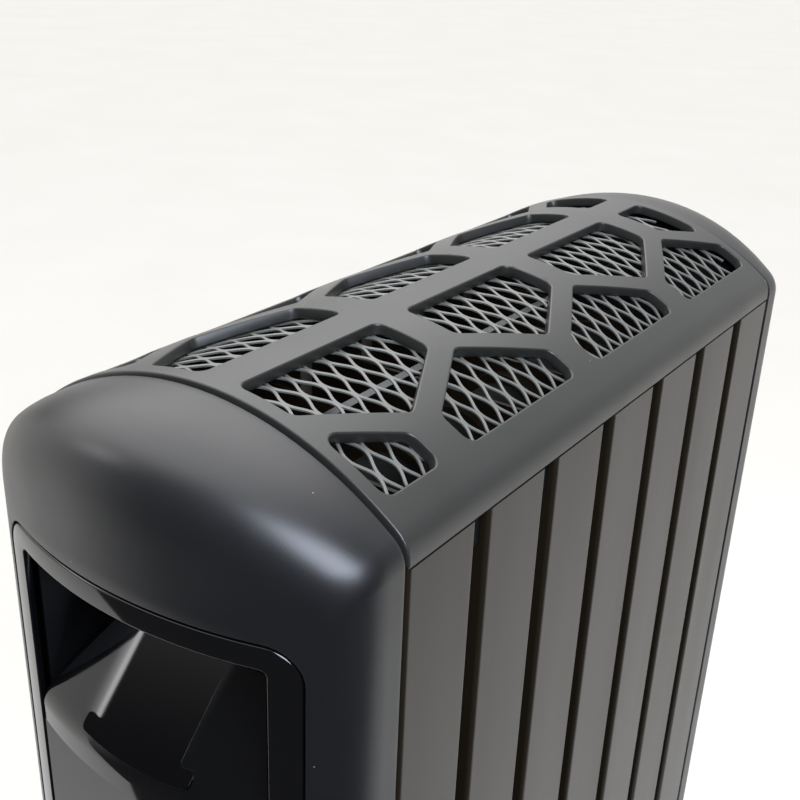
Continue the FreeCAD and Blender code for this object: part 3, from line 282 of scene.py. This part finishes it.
def specks(tree, place, spacing, radius, share):
    """Scattered dots: one in each cell of the given spacing, kept in a share of the cells."""
    cells = add(tree, "ShaderNodeTexVoronoi", {"Vector": place, "Scale": 1 / spacing}).outputs
    near = maths(tree, "LESS_THAN", cells["Distance"], radius / spacing)
    pick = add(tree, "ShaderNodeSeparateColor", {"Color": cells["Color"]}).outputs["Red"]
    kept = maths(tree, "LESS_THAN", pick, share)
    return maths(tree, "MULTIPLY", near, kept)


def surface(name, tones, roughness, grain, depth, stretch=(1, 1, 1), dust=None, **shader_inputs):
    """Two close tones in soft clouds, gloss that varies with them, a grain in relief, and dust if given."""
    material, tree, place = new_material(name)
    cloud = noise(tree, place, CLOUD_SIZE, CLOUD_DETAIL, stretch)
    relief = noise(tree, place, grain, RELIEF_DETAIL, stretch)
    colour = blend(tree, cloud, linear(tones[0]), linear(tones[1]))
    if dust:
        dots = specks(tree, place, DUST_SPACING, DUST_RADIUS, DUST_SHARE)
        colour = blend(tree, dots, colour, linear(dust))
    bump = add(tree, "ShaderNodeBump", {"Height": relief, "Strength": RELIEF_STRENGTH, "Distance": depth})
    inputs = {"Base Color": colour, "Roughness": remap(tree, cloud, *roughness),
              "Normal": bump.outputs["Normal"]}
    shader = add(tree, "ShaderNodeBsdfPrincipled", inputs | shader_inputs)
    add(tree, "ShaderNodeOutputMaterial", {"Surface": shader.outputs["BSDF"]})
    return material


SLOT_MATERIALS = {
    # Spark-eroded ABS: black with a soft grey sheen towards the light, and a few lint specks.
    # The real grain is about 0.2 mm and is drawn at 0.9 mm, as it would be too fine for the picture.
    "matt_black_plastic": surface(
        "satin_moulded_abs", ("#131315", "#19191b"), (0.34, 0.41),
        grain=0.9 * MM, depth=0.05 * MM, dust="#8d8a84", IOR=1.56),
    # Polished ABS: deep black mirror with a faint waviness and cloudy wipe marks.
    "gloss_black_plastic": surface(
        "polished_abs", ("#08080a", "#0b0b0c"), (0.05, 0.11),
        grain=6 * MM, depth=0.012 * MM, IOR=1.53),
    # Moulded inner side of the grip: satin black that hides in its own shadow.
    "dark_pocket_plastic": surface(
        "satin_pocket_abs", ("#070708", "#0b0b0c"), (0.3, 0.4),
        grain=1.2 * MM, depth=0.04 * MM, IOR=1.5),
    # Smoked acrylic: blacker and clearer than the plastic round it.
    "smoked_lens": surface(
        "smoked_acrylic", ("#030304", "#060607"), (0.03, 0.06),
        grain=9 * MM, depth=0.01 * MM, IOR=1.49),
    # Powder coat on the roof: a warm dark grey sheen, very slightly uneven like orange peel.
    "black_coated_cover": surface(
        "satin_powder_coat", ("#242422", "#2b2b29"), (0.33, 0.41),
        grain=1.9 * MM, depth=0.06 * MM, dust="#9a968e", IOR=1.56),
    # Expanded steel under a thin grey coat: strands that catch the light along their tops.
    "black_mesh": surface(
        "coated_expanded_steel", ("#5a5a56", "#6c6c67"), (0.3, 0.42),
        grain=1.2 * MM, depth=0.08 * MM, IOR=1.5),
    # Coated sheet of the panels: a warm black satin, with faint upright streaks from rolling.
    "black_coated_steel": surface(
        "coated_sheet_steel", ("#1b150d", "#211a11"), (0.3, 0.38),
        grain=1.6 * MM, depth=0.05 * MM, stretch=(1, 1, 9), IOR=1.44),
    # Dip-coated steel inside the body: dead black, rough and slightly runny.
    "inner_black_steel": surface(
        "dip_coated_steel", ("#060606", "#0b0b0a"), (0.75, 0.88),
        grain=2.4 * MM, depth=0.1 * MM, IOR=1.3),
    # Blackened zinc plate: a dull grey metal with soft clouds.
    "plated_steel": surface(
        "blackened_zinc_plate", ("#55585b", "#6d7073"), (0.28, 0.42),
        grain=1.5 * MM, depth=0.03 * MM, Metallic=1.0),
    # Pressed fibre: dry brown-grey sheet with felted fibres.
    "fibre_gasket": surface(
        "pressed_fibre", ("#6d6250", "#8a7d68"), (0.8, 0.92),
        grain=0.8 * MM, depth=0.12 * MM, stretch=(4, 1, 1), IOR=1.5),
    # Circuit board laminate: green solder mask over a glass weave that shows as fine bars.
    "board_laminate": surface(
        "solder_masked_laminate", ("#12401f", "#1c5a2c"), (0.25, 0.35),
        grain=0.9 * MM, depth=0.04 * MM, stretch=(6, 1, 1), IOR=1.55),
    # Moulded housings of the small gear: off-white polyester with flow clouds.
    "moulded_component": surface(
        "moulded_polyester", ("#b9b5aa", "#cbc7bb"), (0.42, 0.55),
        grain=1.3 * MM, depth=0.05 * MM, IOR=1.55),
    # Glass-filled nylon: matt black, a little grey and grainy.
    "black_nylon": surface(
        "glass_filled_nylon", ("#171717", "#222221"), (0.45, 0.58),
        grain=1.1 * MM, depth=0.07 * MM, IOR=1.53),
    # Polypropylene tread: dull black with grey scuffs from the floor.
    "caster_wheel": surface(
        "scuffed_polypropylene", ("#181818", "#2e2d2b"), (0.5, 0.68),
        grain=1.4 * MM, depth=0.09 * MM, dust="#77736c", IOR=1.49),
}
for entry in frame["record"]["subparts"]:
    mesh = nodes[entry["node"]].data
    mesh.materials.clear()
    mesh.materials.append(SLOT_MATERIALS[entry["material_slot"]])


def add_piece(name, bm, node, slot):
    """Turns a bmesh into a piece that rides on the heater and stands for one node."""
    bmesh.ops.recalc_face_normals(bm, faces=bm.faces)
    mesh = bpy.data.meshes.new(name)
    bm.to_mesh(mesh)
    bm.free()
    mesh.polygons.foreach_set("use_smooth", [True] * len(mesh.polygons))
    piece = bpy.data.objects.new(name, mesh)
    bpy.context.collection.objects.link(piece)
    mesh.materials.append(SLOT_MATERIALS[slot])
    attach(piece, "heater")
    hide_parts(node)
    return piece


def bridge(bm, loops, closed):
    """Faces between neighbouring rows of vertices."""
    for one, two in zip(loops[:-1], loops[1:]):
        count = len(one)
        for i in range(count if closed else count - 1):
            j = (i + 1) % count
            bm.faces.new((one[i], one[j], two[j], two[i]))


def between(a, b, count):
    """Evenly spaced values from a to b, without b."""
    return [a + (b - a) * i / count for i in range(count)]


def arch_outline(half, top, shoulder):
    """Body outline seen from the front, right base to left base: (x, z, share of the crown)."""
    reach = ROOF_RADIUS - shoulder
    rise = math.sqrt(reach ** 2 - (half - shoulder) ** 2)
    middle_z = top - ROOF_RADIUS
    knee_z = middle_z + rise
    lean = math.atan2(half - shoulder, rise)
    points = [(half, z, 0) for z in between(CAP_BASE, knee_z, SIDE_STEPS)]
    for angle in between(math.pi / 2, lean, SHOULDER_STEPS):
        x = half - shoulder + shoulder * math.sin(angle)
        share = (math.pi / 2 - angle) / (math.pi / 2 - lean)
        points.append((x, knee_z + shoulder * math.cos(angle), share * share * (3 - 2 * share)))
    for angle in between(lean, 0, ROOF_STEPS):
        points.append((ROOF_RADIUS * math.sin(angle), middle_z + ROOF_RADIUS * math.cos(angle), 1))
    mirrored = [(-x, z, share) for x, z, share in reversed(points)]
    return points + [(0, top, 1)] + mirrored


def window_outline(half, low, high, corner):
    """Rounded window matched point for point to the closed rim of a cap's front face."""
    right = [(half, z) for z in between(low + corner, high - corner, SIDE_STEPS)]
    for angle in between(0, math.pi / 2, SHOULDER_STEPS):
        right.append((half - corner + corner * math.cos(angle), high - corner + corner * math.sin(angle)))
    right += [(x, high) for x in between(half - corner, 0, ROOF_STEPS)]
    left = [(-x, z) for x, z in reversed(right)]
    quarter = BASE_STEPS // 4
    low_left = []
    for angle in between(math.pi, 1.5 * math.pi, quarter)[1:]:
        low_left.append((corner - half + corner * math.cos(angle), low + corner + corner * math.sin(angle)))
    flat = [(x, low) for x in between(corner - half, half - corner, 2 * quarter)] + [(half - corner, low)]
    low_right = [(-x, z) for x, z in reversed(low_left)]
    return right + [(0, high)] + left + low_left + flat + low_right


def end_cap(name, node, end, seam, window, face_rings):
    """Domed end cap: rings from the seam to the bowed face, then the face round its window."""
    outward = math.copysign(1, end)
    centre = end - outward * BOW_RADIUS

    def bow(x):
        return outward * (centre + outward * math.sqrt(BOW_RADIUS ** 2 - x ** 2))

    start = outward * seam + SEAM_GROOVE
    inner = HALF_WIDTH - CAP_CORNER
    knee = outward * centre + math.sqrt((BOW_RADIUS - CAP_CORNER) ** 2 - inner ** 2)
    sweep = math.atan2(knee - outward * centre, inner)
    straight = max(0, knee - start)
    first = math.asin(max(0, start - knee) / CAP_CORNER)
    path = straight + CAP_CORNER * (sweep - first)
    bm = bmesh.new()
    rows = []
    for ring in range(CROWN_RINGS + 1):
        walked = path * ring / CROWN_RINGS
        turn = first + max(0, walked - straight) / CAP_CORNER
        half = inner + CAP_CORNER * math.cos(turn)
        reach = start + walked if walked < straight else knee + CAP_CORNER * math.sin(turn)
        side_share = (reach - start) / (bow(half) - start)
        crown = math.pi / 2 * (ring / CROWN_RINGS) ** CROWN_SPACING
        fall = 1 - abs(math.cos(crown)) ** CROWN_POWER
        rise = math.sin(crown) ** CROWN_POWER
        top = HEIGHT - CROWN_SINK - (CROWN_DROP - CROWN_SINK) * fall
        row = []
        for x, z, share in arch_outline(half, top, SHOULDER_RADIUS + CROWN_SHOULDER * fall):
            part = side_share * (1 - share) + rise * share
            row.append(bm.verts.new((x, outward * (start + part * (bow(x) - start)), z)))
        rows.append(row)
    bridge(bm, rows, False)
    rim = rows[-1]
    base = []
    for x in between(rim[-1].co.x, rim[0].co.x, BASE_STEPS)[1:]:
        base.append(bm.verts.new((x, outward * bow(x), CAP_BASE)))
    face = [rim + base]
    goal = window_outline(*window)
    for ring in range(1, face_rings + 1):
        share = ring / face_rings
        row = []
        for vert, (x, z) in zip(face[0], goal):
            px = vert.co.x + (x - vert.co.x) * share
            pz = vert.co.z + (z - vert.co.z) * share
            row.append(bm.verts.new((px, outward * bow(px), pz)))
        face.append(row)
    bridge(bm, face, True)
    piece = add_piece(name, bm, node, "matt_black_plastic")
    shell = piece.modifiers.new("wall", "SOLIDIFY")
    shell.thickness = CAP_WALL
    shell.offset = -1
    rims = piece.modifiers.new("rims", "BEVEL")
    rims.width = RIM_ROUND
    rims.segments = RIM_SEGMENTS
    rims.limit_method = "ANGLE"
    rims.angle_limit = RIM_ANGLE


front_window = (BEZEL_HALF + BEZEL_WINDOW_GAP, BEZEL_BOTTOM - BEZEL_WINDOW_GAP,
                BEZEL_TOP + BEZEL_WINDOW_GAP, BEZEL_CORNER + BEZEL_WINDOW_GAP)
rear_window = (REAR_GRIP_HALF, REAR_GRIP_LOW, REAR_GRIP_HIGH, REAR_GRIP_CORNER)
end_cap("front_cap_moulding", "front_cap", FRONT_END, FRONT_SEAM, front_window, FRONT_FACE_RINGS)
end_cap("rear_cap_moulding", "rear_cap", REAR_END, REAR_SEAM, rear_window, REAR_FACE_RINGS)


def roof_point(across, along, depth):
    """Point at an arc length across from the ridge, and a depth below the roof's surface."""
    side = math.copysign(1, across)
    rest = abs(across) - ROOF_ARC
    if rest <= 0:
        angle = abs(across) / ROOF_RADIUS
        radius = ROOF_RADIUS - depth
        return Vector((side * radius * math.sin(angle), along, ROOF_MIDDLE_Z + radius * math.cos(angle)))
    angle = min(KNEE_LEAN + rest / SHOULDER_RADIUS, math.pi / 2)
    radius = SHOULDER_RADIUS - depth
    x = KNEE_X + radius * math.sin(angle)
    down = max(0, rest - SHOULDER_ARC)
    return Vector((side * x, along, KNEE_Z + radius * math.cos(angle) - down))


def rounded(points, radius):
    """Closed outline with its corners rounded."""
    outline = []
    count = len(points)
    for i, (x, y) in enumerate(points):
        corner = Vector((x, y))
        before = (Vector(points[i - 1]) - corner).normalized()
        after = (Vector(points[(i + 1) % count]) - corner).normalized()
        half = before.angle(after) / 2
        centre = corner + (before + after).normalized() * (radius / math.sin(half))
        start = corner + before * (radius / math.tan(half)) - centre
        end = corner + after * (radius / math.tan(half)) - centre
        turn = start.angle_signed(end)
        for step in range(CORNER_STEPS + 1):
            outline.append(centre + Matrix.Rotation(-turn * step / CORNER_STEPS, 2) @ start)
    return outline


def clip(points, limit, keep):
    """Cuts a plan polygon at one place along the length, keeping one side."""
    kept = []
    for i, (ax, ay) in enumerate(points):
        bx, by = points[(i + 1) % len(points)]
        inside = keep * (ay - limit) >= 0
        if inside:
            kept.append((ax, ay))
        if inside != (keep * (by - limit) >= 0):
            share = (limit - ay) / (by - ay)
            kept.append((ax + (bx - ax) * share, limit))
    return kept


def cover_openings():
    """Plan outlines of the openings on the right-hand side, in two staggered rows."""
    outlines = []
    middle = FRONT_SEAM + OPENING_FIRST - OPENING_PITCH
    inner = False
    while middle - OPENING_HALF < REAR_SEAM - PATTERN_MARGIN - OPENING_LEAST:
        low = middle - OPENING_HALF
        high = middle + OPENING_HALF
        if inner:
            points = [(SPINE_HALF, low), (INNER_SIDE, low), (INNER_TIP, middle), (INNER_SIDE, high),
                      (SPINE_HALF, high)]
        else:
            points = [(OUTER_EDGE, low), (OUTER_EDGE, high), (OUTER_SIDE, high), (OUTER_TIP, middle),
                      (OUTER_SIDE, low)]
        points = clip(clip(points, FRONT_SEAM + PATTERN_MARGIN, 1), REAR_SEAM - PATTERN_MARGIN, -1)
        outlines.append(rounded(points, OPENING_CORNER))
        inner = not inner
        middle += OPENING_PITCH
    return outlines


def filled_sheet(name, outlines, thickness, rounding):
    """Flat sheet with rounded edges from its outer outline and its holes, as a bmesh."""
    curve = bpy.data.curves.new(name, "CURVE")
    curve.dimensions = "2D"
    curve.fill_mode = "BOTH"
    curve.extrude = thickness / 2 - rounding
    curve.bevel_depth = rounding
    curve.bevel_resolution = ROUND_STEPS
    curve.offset = -rounding
    for outline in outlines:
        spline = curve.splines.new("POLY")
        spline.points.add(len(outline) - 1)
        for point, place in zip(spline.points, outline):
            point.co = (place[0], place[1], 0, 1)
        spline.use_cyclic_u = True
    flat = bpy.data.objects.new(name, curve)
    bpy.context.collection.objects.link(flat)
    mesh = bpy.data.meshes.new_from_object(flat.evaluated_get(bpy.context.evaluated_depsgraph_get()))
    bpy.data.objects.remove(flat)
    bm = bmesh.new()
    bm.from_mesh(mesh)
    bmesh.ops.remove_doubles(bm, verts=bm.verts, dist=WELD)
    return bm


def flat_normals(bm):
    """Normals of a flat sheet's vertices: square on its faces, turning over along its rounded edges."""
    normals = []
    for vert in bm.verts:
        level = [face.normal for face in vert.link_faces if abs(face.normal.z) > LEVEL]
        normals.append((level or [vert.normal])[0].copy())
    return normals


def bent_sheet(name, node, slot, outlines, thickness, rounding, bend):
    """Flat sheet from its outlines, cut along its length into narrow strips and bent into shape."""
    bm = filled_sheet(name, outlines, thickness, rounding)
    half = max(vert.co.x for vert in bm.verts)
    count = int(half / BEND_STEP)
    for i in range(-count, count + 1):
        geometry = bm.verts[:] + bm.edges[:] + bm.faces[:]
        place = (i * BEND_STEP, 0, 0)
        bmesh.ops.bisect_plane(bm, geom=geometry, plane_co=place, plane_no=(1, 0, 0), dist=WELD)
    bm.normal_update()
    normals = []
    for vert, normal in zip(bm.verts, flat_normals(bm)):
        ahead = bend(vert.co + normal * NORMAL_PROBE)
        vert.co = bend(vert.co)
        normals.append((ahead - vert.co).normalized())
    piece = add_piece(name, bm, node, slot)
    piece.data.normals_split_custom_set_from_vertices(normals)


def rectangle(left, right, low, high):
    return [(left, low), (right, low), (right, high), (left, high)]


def make_cover():
    """Roof: its four rows of openings are laid out in plan and unrolled to arc lengths."""
    edge = ROOF_ARC + SHOULDER_ARC + KNEE_Z - SIDE_SEAM
    outlines = [rectangle(-edge, edge, FRONT_SEAM, REAR_SEAM)]
    for outline in cover_openings():
        right = [(ROOF_RADIUS * math.asin(x / ROOF_RADIUS), y) for x, y in outline]
        outlines += [right, [(-x, y) for x, y in right]]

    def bend(place):
        return roof_point(place.x, place.y, COVER_WALL / 2 - place.z)

    bent_sheet("top_cover_moulding", "top_cover", "black_coated_cover", outlines, COVER_WALL,
               HOLE_ROUND, bend)


def make_mesh():
    """Expanded sheet: each strand runs from one bond to the next in a slow S and leans over."""
    bm = bmesh.new()
    columns = int((REAR_SEAM - FRONT_SEAM - 2 * PATTERN_MARGIN) / MESH_SHORT)
    depth = COVER_WALL + STRAND_SHEET
    bond = BOND_SHARE * STRAND_WIDTH
    section = []
    for a, b in ((-1, -1), (1, -1), (1, 1), (-1, 1)):
        du = a * STRAND_WIDTH / 2
        dv = b * STRAND_SHEET / 2
        section.append((du * math.cos(STRAND_TILT) - dv * math.sin(STRAND_TILT),
                        du * math.sin(STRAND_TILT) + dv * math.cos(STRAND_TILT)))
    for row in range(-MESH_ROWS, MESH_ROWS):
        for column in range(columns):
            y = FRONT_SEAM + PATTERN_MARGIN + (column + (row % 2) / 2) * MESH_SHORT
            for way in (-1, 1):
                loops = []
                for i in range(STRAND_STEPS + 1):
                    share = i / STRAND_STEPS
                    ease = (1 - math.cos(math.pi * share)) / 2
                    middle = y + way * (bond + (MESH_SHORT / 2 - 2 * bond) * ease)
                    across = (row + share) * MESH_LONG / 2
                    loop = []
                    for along, up in section:
                        loop.append(bm.verts.new(roof_point(across, middle + along, depth - up)))
                    loops.append(loop)
                bridge(bm, loops, True)
    piece = add_piece("expanded_mesh", bm, "top_mesh", "black_mesh")
    piece.data.polygons.foreach_set("use_smooth", [False] * len(piece.data.polygons))


def bow_front(x, setback):
    """Front face of the control insert at one place across."""
    radius = BOW_RADIUS - setback
    return FRONT_END + BOW_RADIUS - math.sqrt(radius ** 2 - x ** 2)


def make_bezel():
    """Polished frame round the control insert, with rounded edges."""
    bm = bmesh.new()
    rows = []

    def row(side, bar, corner, depth):
        outline = window_outline(BEZEL_HALF - side, BEZEL_BOTTOM + bar, BEZEL_TOP - bar, corner)
        rows.append([bm.verts.new((x, bow_front(x, depth), z)) for x, z in outline])

    def outer(inset, depth):
        row(inset, inset, BEZEL_CORNER - inset, depth)

    def inner(inset, depth):
        row(BEZEL_SIDE - inset, BEZEL_BAR - inset, BEZEL_INNER_CORNER + inset, depth)

    outer(0, BEZEL_DEPTH)
    outer(0, RIM_ROUND)
    outer(BEZEL_RIM, BEZEL_RIM)
    outer(RIM_ROUND, 0)
    row(BEZEL_SIDE / 2, BEZEL_BAR / 2, (BEZEL_CORNER + BEZEL_INNER_CORNER) / 2, 0)
    inner(RIM_ROUND, 0)
    inner(BEZEL_RIM, BEZEL_RIM)
    inner(0, RIM_ROUND)
    inner(0, BEZEL_DEPTH)
    bridge(bm, rows, True)
    piece = add_piece("control_bezel_frame", bm, "control_bezel", "gloss_black_plastic")
    normals = piece.modifiers.new("normals", "WEIGHTED_NORMAL")
    normals.weight = BEZEL_FACE_WEIGHT


def slope_height(x, y):
    """Height of the display slope: flat in the middle, with flanks that curve down."""
    beyond = max(0, abs(x) - LENS_HALF)
    creased = min(beyond, FLANK_CREASE)
    tilted = creased ** 2 / (2 * FLANK_CREASE) + beyond - creased
    fall = tilted * FLANK_TILT + FLANK_CROWN - math.sqrt(FLANK_CROWN ** 2 - beyond ** 2)
    climb = (y - FRONT_END - PANEL_SETBACK) * math.tan(TONGUE_SLOPE)
    return LIP_HEIGHT + TONGUE_EDGE + climb - fall / math.cos(TONGUE_SLOPE)


def make_tongue():
    """Slanted display body: rolls out of the panel into a slope that is crowned and narrows to the rear."""
    bm = bmesh.new()
    back = POCKET_HIGH.y - TONGUE_END_GAP
    foot = PANEL_TOP - LIP_LAP
    rows = []
    for j in range(TONGUE_COLUMNS + 1):
        share = 2 * j / TONGUE_COLUMNS - 1
        front = bow_front(share * TONGUE_HALF_FRONT, PANEL_SETBACK)

        def place(reach):
            y = front + reach
            narrowed = max(0, reach) / (back - front)
            x = share * (TONGUE_HALF_FRONT + (TONGUE_HALF_REAR - TONGUE_HALF_FRONT) * narrowed)
            return Vector((x, y, slope_height(x, y)))

        corner = place(0)
        rise = place(MM) - corner
        turn = math.pi / 2 - math.atan2(rise.z, rise.y)
        roll_start = corner.z - LIP_ROUND * math.tan(turn / 2)
        row = [Vector((corner.x, front - LIP_STEP, foot))]
        for i in range(LIP_STEPS + 1):
            angle = turn * i / LIP_STEPS
            reach = LIP_ROUND * (1 - math.cos(angle)) - LIP_STEP * (1 - i / LIP_STEPS)
            row.append(Vector((place(reach).x, front + reach, roll_start + LIP_ROUND * math.sin(angle))))
        rolled = LIP_ROUND * (1 - math.cos(turn))
        for i in range(1, TONGUE_STEPS + 1):
            row.append(place(rolled + (back - front - rolled) * i / TONGUE_STEPS))
        rows.append([bm.verts.new(point) for point in row])
    bridge(bm, rows, False)
    for side in (rows[0], rows[-1]):
        low = [bm.verts.new((v.co.x, v.co.y, foot)) for v in side[1:]]
        bridge(bm, [side[1:], low], False)
        for one, two in zip(side[1:-1], side[2:]):
            bm.edges.get((one, two)).smooth = False
    add_piece("display_slope", bm, "display_fascia", "gloss_black_plastic")


def make_panel():
    """Polished front panel: bowed across, with the cut-out of the main switch."""
    edge = rectangle(-PANEL_HALF, PANEL_HALF, PANEL_BOTTOM, PANEL_TOP)
    hole = rectangle(-SWITCH_HALF_X, SWITCH_HALF_X, SWITCH_HEIGHT - SWITCH_HALF_Z,
                     SWITCH_HEIGHT + SWITCH_HALF_Z)

    def bend(place):
        setback = PANEL_SETBACK + PANEL_SHEET / 2 - place.z
        return Vector((place.x, bow_front(place.x, setback), place.y))

    bent_sheet("front_panel_moulding", "front_panel", "gloss_black_plastic", [edge, hole], PANEL_SHEET,
               PANEL_ROUND, bend)


def make_lens():
    """Smoked window in the slope: flat, a T with its bar along the lip."""
    half = LENS_HALF
    band = LENS_BAND_HALF
    band_end = LENS_START + LENS_BAND
    outline = [(-band, LENS_START), (band, LENS_START), (band, band_end), (half, band_end),
               (half, LENS_LENGTH), (-half, LENS_LENGTH), (-half, band_end), (-band, band_end)]
    normal = Vector((0, -math.sin(TONGUE_SLOPE), math.cos(TONGUE_SLOPE)))

    def bend(place):
        y = bow_front(place.x, PANEL_SETBACK) + place.y * math.cos(TONGUE_SLOPE)
        return Vector((place.x, y, slope_height(0, y))) + normal * (place.z - LENS_SHEET / 2 + LENS_PROUD)

    bent_sheet("display_window", "display_lens", "smoked_lens", [rounded(outline, LENS_CORNER)],
               LENS_SHEET, LENS_ROUND, bend)


make_cover()
make_mesh()
make_bezel()
make_tongue()
make_panel()
make_lens()


def add_camera():
    camera = bpy.data.cameras.new("camera")
    camera.sensor_width = CAMERA_SENSOR
    camera.lens = CAMERA_LENS
    holder = bpy.data.objects.new("camera", camera)
    level = math.cos(CAMERA_ELEVATION)
    back = Vector((math.sin(CAMERA_AZIMUTH) * level, -math.cos(CAMERA_AZIMUTH) * level,
                   math.sin(CAMERA_ELEVATION)))
    right = (-back).cross(Vector((0, 0, 1))).normalized()
    up = right.cross(-back)
    turned_right = right * math.cos(CAMERA_ROLL) + up * math.sin(CAMERA_ROLL)
    turned_up = up * math.cos(CAMERA_ROLL) - right * math.sin(CAMERA_ROLL)
    axes = Matrix((turned_right, turned_up, back)).transposed()
    holder.matrix_world = Matrix.Translation(CAMERA_PLACE) @ axes.to_4x4()
    bpy.context.collection.objects.link(holder)
    bpy.context.scene.camera = holder


def add_lamp():
    """Soft window light from the front right."""
    lamp = bpy.data.lights.new("right_window", "AREA")
    lamp.size = LAMP_SIZE
    lamp.energy = LAMP_POWER
    lamp.color = linear(LAMP_COLOUR)[:3]
    holder = bpy.data.objects.new("right_window", lamp)
    holder.location = LAMP_PLACE
    holder.rotation_euler = (LAMP_AIM - LAMP_PLACE).to_track_quat("-Z", "Y").to_euler()
    holder.visible_camera = False
    bpy.context.collection.objects.link(holder)


def add_floor():
    """Plain pale sheet with a little glow where it is seen, straight or mirrored."""
    bm = bmesh.new()
    bmesh.ops.create_grid(bm, x_segments=1, y_segments=1, size=FLOOR_HALF)
    mesh = bpy.data.meshes.new("floor")
    bm.to_mesh(mesh)
    bm.free()
    floor = bpy.data.objects.new("floor", mesh)
    inward = Matrix.Rotation(FLOOR_TURN, 3, "Z") @ Vector((0, FLOOR_HALF, 0))
    floor.location = Vector((0, FLOOR_FRONT, 0)) + inward
    floor.rotation_euler.z = FLOOR_TURN
    bpy.context.collection.objects.link(floor)
    material, tree, place = new_material("pale_floor")
    cloud = noise(tree, place, FLOOR_CLOUD, FLOOR_DETAIL)
    tone = blend(tree, cloud, linear(FLOOR_TONES[0]), linear(FLOOR_TONES[1]))
    shade = add(tree, "ShaderNodeBsdfDiffuse", {"Color": tone})
    rays = add(tree, "ShaderNodeLightPath").outputs
    seen = maths(tree, "MAXIMUM", rays["Is Camera Ray"], rays["Is Glossy Ray"])
    seen = maths(tree, "MAXIMUM", seen, rays["Is Transmission Ray"])
    lift = maths(tree, "MULTIPLY", seen, FLOOR_LIFT)
    glow = add(tree, "ShaderNodeEmission", {"Color": tone, "Strength": lift})
    both = add(tree, "ShaderNodeAddShader", {0: shade.outputs["BSDF"], 1: glow.outputs["Emission"]})
    add(tree, "ShaderNodeOutputMaterial", {"Surface": both.outputs["Shader"]})
    mesh.materials.append(material)


def add_world():
    """Dim room with soft bright parts, white where the camera looks straight at it."""
    world = bpy.data.worlds.new("studio")
    world.use_nodes = True
    bpy.context.scene.world = world
    tree = world.node_tree
    tree.nodes.clear()
    direction = add(tree, "ShaderNodeTexCoord").outputs["Generated"]
    room = 0.0
    for axis, start, full, strength in ROOM_PARTS:
        near = add(tree, "ShaderNodeVectorMath", {0: direction, 1: axis}, operation="DOT_PRODUCT")
        inputs = {"Value": near.outputs["Value"], "From Min": start, "From Max": full,
                  "To Min": ROOM_DIM, "To Max": strength}
        part = add(tree, "ShaderNodeMapRange", inputs, interpolation_type="SMOOTHSTEP")
        room = maths(tree, "ADD", part.outputs["Result"], room)
    seen_direct = add(tree, "ShaderNodeLightPath").outputs["Is Camera Ray"]
    level = maths(tree, "MAXIMUM", room, seen_direct)
    sky = add(tree, "ShaderNodeBackground", {"Color": linear(ROOM_COLOUR), "Strength": level})
    add(tree, "ShaderNodeOutputWorld", {"Surface": sky.outputs["Background"]})


add_camera()
add_lamp()
add_floor()
add_world()
bpy.context.scene.view_settings.view_transform = "Standard"
